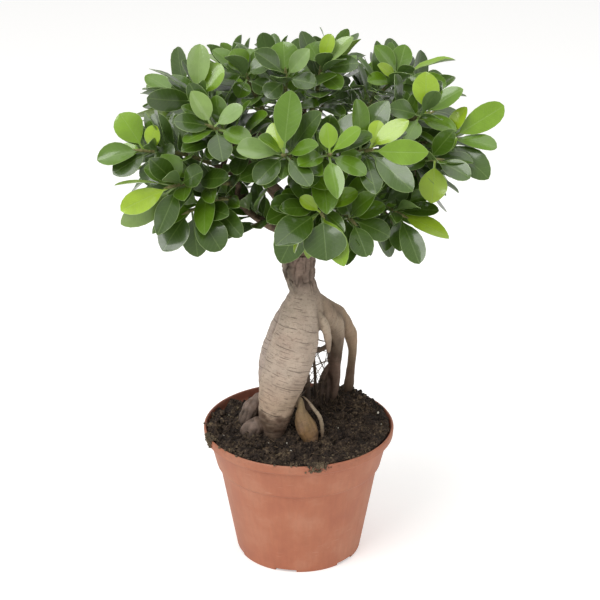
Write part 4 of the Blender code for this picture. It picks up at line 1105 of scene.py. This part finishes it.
def spiral_leaves(stem, first, count, draw):
    """Leaves that climb a stem by the golden angle, steeper and shorter towards its tip."""
    leaves = []
    axis = (stem[2].xyz - stem[0].xyz).normalized()
    side = axis.orthogonal().normalized()
    other = axis.cross(side)
    start = draw.uniform(0, math.tau)
    for index in range(first, first + count):
        station = 1.0 - index / (first + count + 1)
        if station > 0.5:
            root = stem[1].xyz.lerp(stem[2].xyz, station * 2 - 1)
        else:
            root = stem[0].xyz.lerp(stem[1].xyz, station * 2)
        turn = start + GOLDEN_ANGLE * index
        out = side * math.cos(turn) + other * math.sin(turn)
        pitch = math.radians(28 + 50 * (1 - station) + draw.uniform(-8, 8))
        along = axis * math.cos(pitch) + out * math.sin(pitch)
        along = (along + Vector((0, 0, draw.uniform(-0.05, 0.25)))).normalized()
        length = draw.uniform(38, 47) * (0.8 if index < 2 else 1.0)
        face = axis * 0.8 + Vector((0, 0, 0.7))
        leaves.append((root, root + along * length, face, length * draw.uniform(0.40, 0.47)))
    return leaves


def shoot_tips():
    """Tips of all shoots: the front ones as seen, and the rest spread evenly by the golden angle."""
    tips = []
    for (x, z), *rows in FRONT_SHOOTS:
        tips.append((Vector((x, crown_depth(x, z), z)), rows))
    for index in range(RULE_SHOOTS):
        height = 1 - 2 * (index + 0.5) / RULE_SHOOTS
        if height < -0.72:
            continue
        flat = math.sqrt(1 - height * height)
        turn = GOLDEN_ANGLE * index
        ray = Vector((flat * math.cos(turn), flat * math.sin(turn), height))
        tip = CROWN_CENTRE + ray * RULE_RADII
        if min((tip - other).length for other, rows in tips) > RULE_SHOOT_SPACING:
            tips.append((tip, []))
    return tips


def twig_route(start):
    """Route from the nearest limb to where a shoot starts, ending in line with the shoot."""
    choices = []
    for knots in LIMBS:
        for knot in smooth_route(knots, 3)[3:]:
            choices.append(((knot.xyz - start[0].xyz).length, tuple(knot)))
    nearest = Vector(min(choices)[1])
    outward = (start[1].xyz - start[0].xyz).normalized()
    end = start[0].xyz - outward * SEAT_GAP
    before = end - outward * 9
    return [
        Vector((*nearest.xyz, TWIG_RADIUS * 1.1)),
        Vector((*nearest.xyz.lerp(before, 0.55), TWIG_RADIUS * 1.05)),
        Vector((*before, TWIG_RADIUS)),
        Vector((*end, TWIG_RADIUS * 0.9)),
    ]


def grow_leaves(tips, stems, growth):
    """Every shoot's leaves as (leaf, green), front rows first, each kept only where it can be turned clear."""
    draw = random.Random(SEED)
    shade = random.Random(SEED + 1)
    kept = [[] for tip in tips]
    for index, stem in enumerate(stems):
        shape = tube_shape(stem, STEM_SIDES)
        growth.add(index, stem[1].xyz, (stem[2].xyz - stem[0].xyz).length, search_tree(*shape))
    for index, (tip, rows) in enumerate(tips):
        if rows:
            wanted = front_leaves(tip, stems[index], rows, draw)
            wanted += spiral_leaves(stems[index], 4, 4, draw)
            greens = FRONT_GREENS[index] + "ddmd"
        else:
            wanted = spiral_leaves(stems[index], 0, RULE_LEAVES, draw)
            greens = "".join(shade.choices("dmbl", (50, 30, 14, 6), k=RULE_LEAVES))
        for leaf, green in zip(wanted, greens):
            for attempt in range(LEAF_TRIES):
                trial = turned_leaf(leaf, attempt, draw)
                if growth.is_clear(index, trial):
                    growth.add_leaf(index, trial)
                    kept[index].append((trial, GREEN_SHARES[green] + shade.uniform(-0.07, 0.05)))
                    break
    return kept


def shaded_leaves(owner, stem, first, count, growth, draw):
    """More leaves on a stem, shorter and in the crown's shade, where they have room and stay in the box."""
    kept = []
    for root, tip, face, width in spiral_leaves(stem, first, count, draw):
        leaf = (root, root + (tip - root) * draw.uniform(0.62, 0.92), face, width * draw.uniform(0.6, 0.88))
        for attempt in range(INNER_TRIES):
            trial = turned_leaf(leaf, attempt, draw)
            end = np.array(trial[1])
            inside = np.all((end > BOX_LOW + BOX_MARGIN) & (end < BOX_HIGH - BOX_MARGIN))
            if inside and growth.is_clear(owner, trial):
                growth.add_leaf(owner, trial)
                kept.append((trial, draw.uniform(0.0, 0.4)))
                break
    return kept


# Branches, stems and leaves


def make_branches(material, twigs):
    """Trunk, limbs and twigs as tubes along smooth paths."""
    shapes = [tube(TRUNK, 18)] + [tube(knots, 12) for knots in LIMBS]
    shapes += [tube([tuple(knot) for knot in route], 8, 4) for route in twigs]
    points, faces = joined(shapes)
    knots = 0.5 * value_noise(points, 6, 31) + 0.3 * value_noise(points, 2.5, 32)
    points = points + unit(points - np.array([2.0, 4.0, 300.0])) * knots[:, None]
    branches = mesh_piece("woody_branches", (points, faces), [material], sharp=60)
    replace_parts(branches, "branches")


def blades(leaves, draw):
    """Fine leaves in arrays, with their marks: at a share s of the leaf's length and u from -1 to 1 across it,
    the point is root + length s along + half u across + rise face. half is (t / widest) to the power base
    times ((1 - t) / (1 - widest)) to the power blunt, t being s past the petiole. rise is the bow
    0.2 length (s - s2), plus cup half |u| to the 1.5, plus a wave and a twist that grow with |u|, and half the
    thickness up or down. No point leaves the solids' box."""
    root, tip, face = (np.array([leaf[0][index] for leaf in leaves]) for index in range(3))
    width = np.array([leaf[0][3] for leaf in leaves])[:, None, None]
    tone = np.array([leaf[1] for leaf in leaves])[:, None, None]
    count = len(leaves)
    length = np.linalg.norm(tip - root, axis=1)[:, None]
    along = (tip - root) / length
    length = length - TIP_GAP
    face = unit(face - along * np.sum(along * face, axis=1, keepdims=True))
    across = np.cross(along, face)
    blade = np.array([0, 0, 0.08, 0.19, 0.33, 0.48, 0.63, 0.77, 0.89, 0.965, 1.0])[None, :, None]
    s = PETIOLE_SHARE + (1 - PETIOLE_SHARE) * blade
    s[0, 0, 0] = 0.0
    u = np.array([-1, -0.5, 0, 0.5, 1, 1, 0.5, 0, -0.5, -1.0])[None, None, :]
    upper = np.array([1.0] * 5 + [0.0] * 5)[None, None, :]
    blunt = draw.uniform(0.5, 0.76, (count, 1, 1))
    base = draw.uniform(0.62, 0.9, (count, 1, 1))
    widest = base / (base + blunt)
    half = width / 2 * (blade / widest) ** base * ((1 - blade) / (1 - widest)) ** blunt
    half = np.maximum(half, np.where(blade == 0, 0.75, 0.3))
    thick = np.where(blade == 0, 0.55, 0.22) * np.where(np.abs(u) == 1, 0.55, 1.0) * (upper * 2 - 1)
    open_blade = np.clip(blade * 6, 0, 1)
    cup = draw.uniform(0.04, 0.42, (count, 1, 1)) * np.minimum(1, 15 / width)
    wave = draw.uniform(0.0, 0.09, (count, 1, 1))
    wave = wave * np.sin(math.tau * (1.4 * blade + draw.uniform(0, 1, (count, 1, 1))))
    twist = draw.uniform(-0.3, 0.3, (count, 1, 1)) * blade * np.minimum(1, 18 / width)
    bow = 0.2 * length[:, :, None] * (s - s * s)
    lift = open_blade * half * (cup * np.abs(u) ** 1.5 + wave * u ** 2 + twist * u)
    rise = bow + lift + thick
    points = root[:, None, None] + along[:, None, None] * (length[:, :, None] * s)[..., None]
    points = points + across[:, None, None] * (half * u)[..., None] + face[:, None, None] * rise[..., None]
    points = np.clip(points, BOX_LOW + TIP_GAP / 4, BOX_HIGH - TIP_GAP / 4)
    place = np.stack(np.broadcast_arrays(half * u, length[:, :, None] * s, half * (1 - np.abs(u))), axis=-1)
    seed = draw.uniform(0, 1, (count, 1, 1))
    kind = np.stack(np.broadcast_arrays(upper, tone, seed, half * u)[:3], axis=-1)
    return closed(points), {"leaf_place": place.reshape(-1, 3), "leaf_kind": kind.reshape(-1, 3)}


def make_shoots(stems, kept, leaf_finish, stem_finish):
    """For each shoot one piece: its stem, the pointed bud at its tip, and its leaves."""
    draw = np.random.default_rng(SEED)
    for index, (stem, leaves) in enumerate(zip(stems, kept)):
        tip = np.array(stem[2][:3])
        bud_way = tip - np.array(stem[1][:3])
        bud_way /= np.linalg.norm(bud_way)
        bud = [(*(tip + bud_way * way), radius) for way, radius in BUD]
        wood = joined([tube([tuple(knot) for knot in stem], 9, 6), tube(bud, 8, 3)])
        foliage, marks = blades(leaves, draw)
        blank = np.zeros_like(wood[0])
        marks = {label: np.vstack([blank, values]) for label, values in marks.items()}
        kinds = np.repeat([1, 0], [sum(map(len, faces)) for points, faces in (wood, foliage)])
        shoot = mesh_piece("leafy_shoot_%02d" % (index + 1), joined([wood, foliage]),
                           [leaf_finish, stem_finish], marks, kinds, LEAF_SHARPNESS)
        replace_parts(shoot, "shoot_%02d" % (index + 1))


def make_inner_foliage(leaves, finish):
    """The limbs' own leaves as one piece."""
    foliage, marks = blades(leaves, np.random.default_rng(SEED + 4))
    mesh_piece("inner_foliage", foliage, [finish], marks, sharp=LEAF_SHARPNESS)


def make_aerial_roots(stems, material):
    """Thin aerial roots that hang from the right-hand shoots, on curves start + drift s + drop s2."""
    shapes = []
    s = np.linspace(0, 1, 9)[:, None]
    for shoot, drift, drop in ((14, (6, -4, 4), (1, -2, -26)), (16, (10, -4, 3), (2, -2, -24)),
                               (17, (9, -6, 2), (4, -3, -20)), (14, (-3, -6, 2), (3, -1, -22))):
        start = np.array(stems[shoot][1][:3])
        curve = start + np.array(drift) * s + np.array(drop) * s ** 2
        shapes.append(closed(tube_grid(np.hstack([curve, 0.75 - 0.4 * s]), 6)))
    mesh_piece("aerial_roots", joined(shapes), [material], sharp=180)


# Studio


def make_studio():
    """Pale floor, white surroundings, a large soft key light at the upper left and the camera at the front."""
    floor_finish, tree, shader = new_material("pale seamless paper", {
        "Base Color": to_linear("#f3f2f0"), "Roughness": 0.9, "Specular IOR Level": 0.2,
        "Emission Color": to_linear("#ffffff")})
    # The paper and the surroundings look whiter than they shine, as in an overexposed studio background
    seen = add_node(tree, "LightPath").outputs["Is Camera Ray"]
    glow = add_node(tree, "Math", {"operation": "MULTIPLY", 1: 0.36, 0: seen})
    feed(shader, {"Emission Strength": glow})
    corners = np.array([(-4000, -4000, 0), (4000, -4000, 0), (4000, 6000, 0), (-4000, 6000, 0)], float)
    mesh = bpy.data.meshes.new("studio_floor")
    mesh.from_pydata(corners * MM, [], [(0, 1, 2, 3)])
    mesh.materials.append(floor_finish)
    floor = bpy.data.objects.new("studio_floor", mesh)
    bpy.context.scene.collection.objects.link(floor)
    world = bpy.data.worlds.new("studio")
    world.use_nodes = True
    sky = world.node_tree
    seen = add_node(sky, "LightPath").outputs["Is Camera Ray"]
    strength = add_node(sky, "MapRange", {"To Min": 0.58, "To Max": 0.9, 0: seen})
    feed(sky.nodes["Background"], {"Color": (1, 1, 1, 1), "Strength": strength})
    bpy.context.scene.world = world
    # Lights as name, place, size and power in metres and watts, all aimed at the rootstock's top
    aim = Vector((0, 0, 0.26))
    for name, place, size, power in (("key_light", (-0.85, -1.0, 1.6), 1.2, 21.0),
                                     ("top_light", (0.0, 0.0, 1.7), 1.2, 5.0),
                                     ("fill_light", (1.4, -0.9, 0.9), 1.2, 4.0)):
        lamp = bpy.data.lights.new(name, "AREA")
        lamp.size = size
        lamp.energy = power
        item = bpy.data.objects.new(name, lamp)
        item.location = place
        item.rotation_euler = (aim - Vector(place)).to_track_quat("-Z", "Y").to_euler()
        bpy.context.scene.collection.objects.link(item)
    lens = bpy.data.cameras.new("camera")
    lens.lens = LENS
    lens.sensor_width = SENSOR_WIDTH
    camera = bpy.data.objects.new("camera", lens)
    camera.location = CAMERA_PLACE
    camera.rotation_euler = (math.pi / 2 - VIEW_TILT, 0, 0)
    bpy.context.scene.collection.objects.link(camera)
    bpy.context.scene.camera = camera
    bpy.context.scene.view_settings.view_transform = "Standard"


make_studio()
peat = peat_material()
make_pot(plastic_material())
make_peat(peat)
dress_peat(peat)
bark = root_material()
make_rootstock(bark)

tips = shoot_tips()
stem_draw = random.Random(SEED)
stems = [shoot_stem(tip, stem_draw) for tip, rows in tips]
twigs = [twig_route(stem) for stem in stems]
growth = Growth()
for route, sides in [(smooth_route(TRUNK, 1), 8)] + [(smooth_route(knots, 1), 5) for knots in LIMBS] + [
        (route, STEM_SIDES) for route in twigs]:
    growth.add("branches", CROWN_HEART, 200, search_tree(*tube_shape(route, sides)))
kept = grow_leaves(tips, stems, growth)
shade_draw = random.Random(SEED + 2)
for index, stem in enumerate(stems):
    kept[index] += shaded_leaves(index, stem, 2, INNER_LEAVES, growth, shade_draw)
limb_leaves = [(leaf, green) for *leaf, green in NECK_LEAVES]
for knots in LIMBS:
    stem = [Vector(knot) for knot in knots[-3:]]
    limb_leaves += shaded_leaves("branches", stem, 1, LIMB_LEAVES, growth, shade_draw)
twig_bark = wood_material("ficus branch bark", "#3d3027", "#7a6552", 260.0)
make_fine_roots(wood_material("fine ficus root", "#33291f", "#6b5a48", 300.0))
make_branches(twig_bark, twigs)
leaf_finish = leaf_material()
make_shoots(stems, kept, leaf_finish, wood_material("young ficus stem", "#5a5a34", "#8f8a5a", 420.0))
make_inner_foliage(limb_leaves, leaf_finish)
make_aerial_roots(stems, twig_bark)
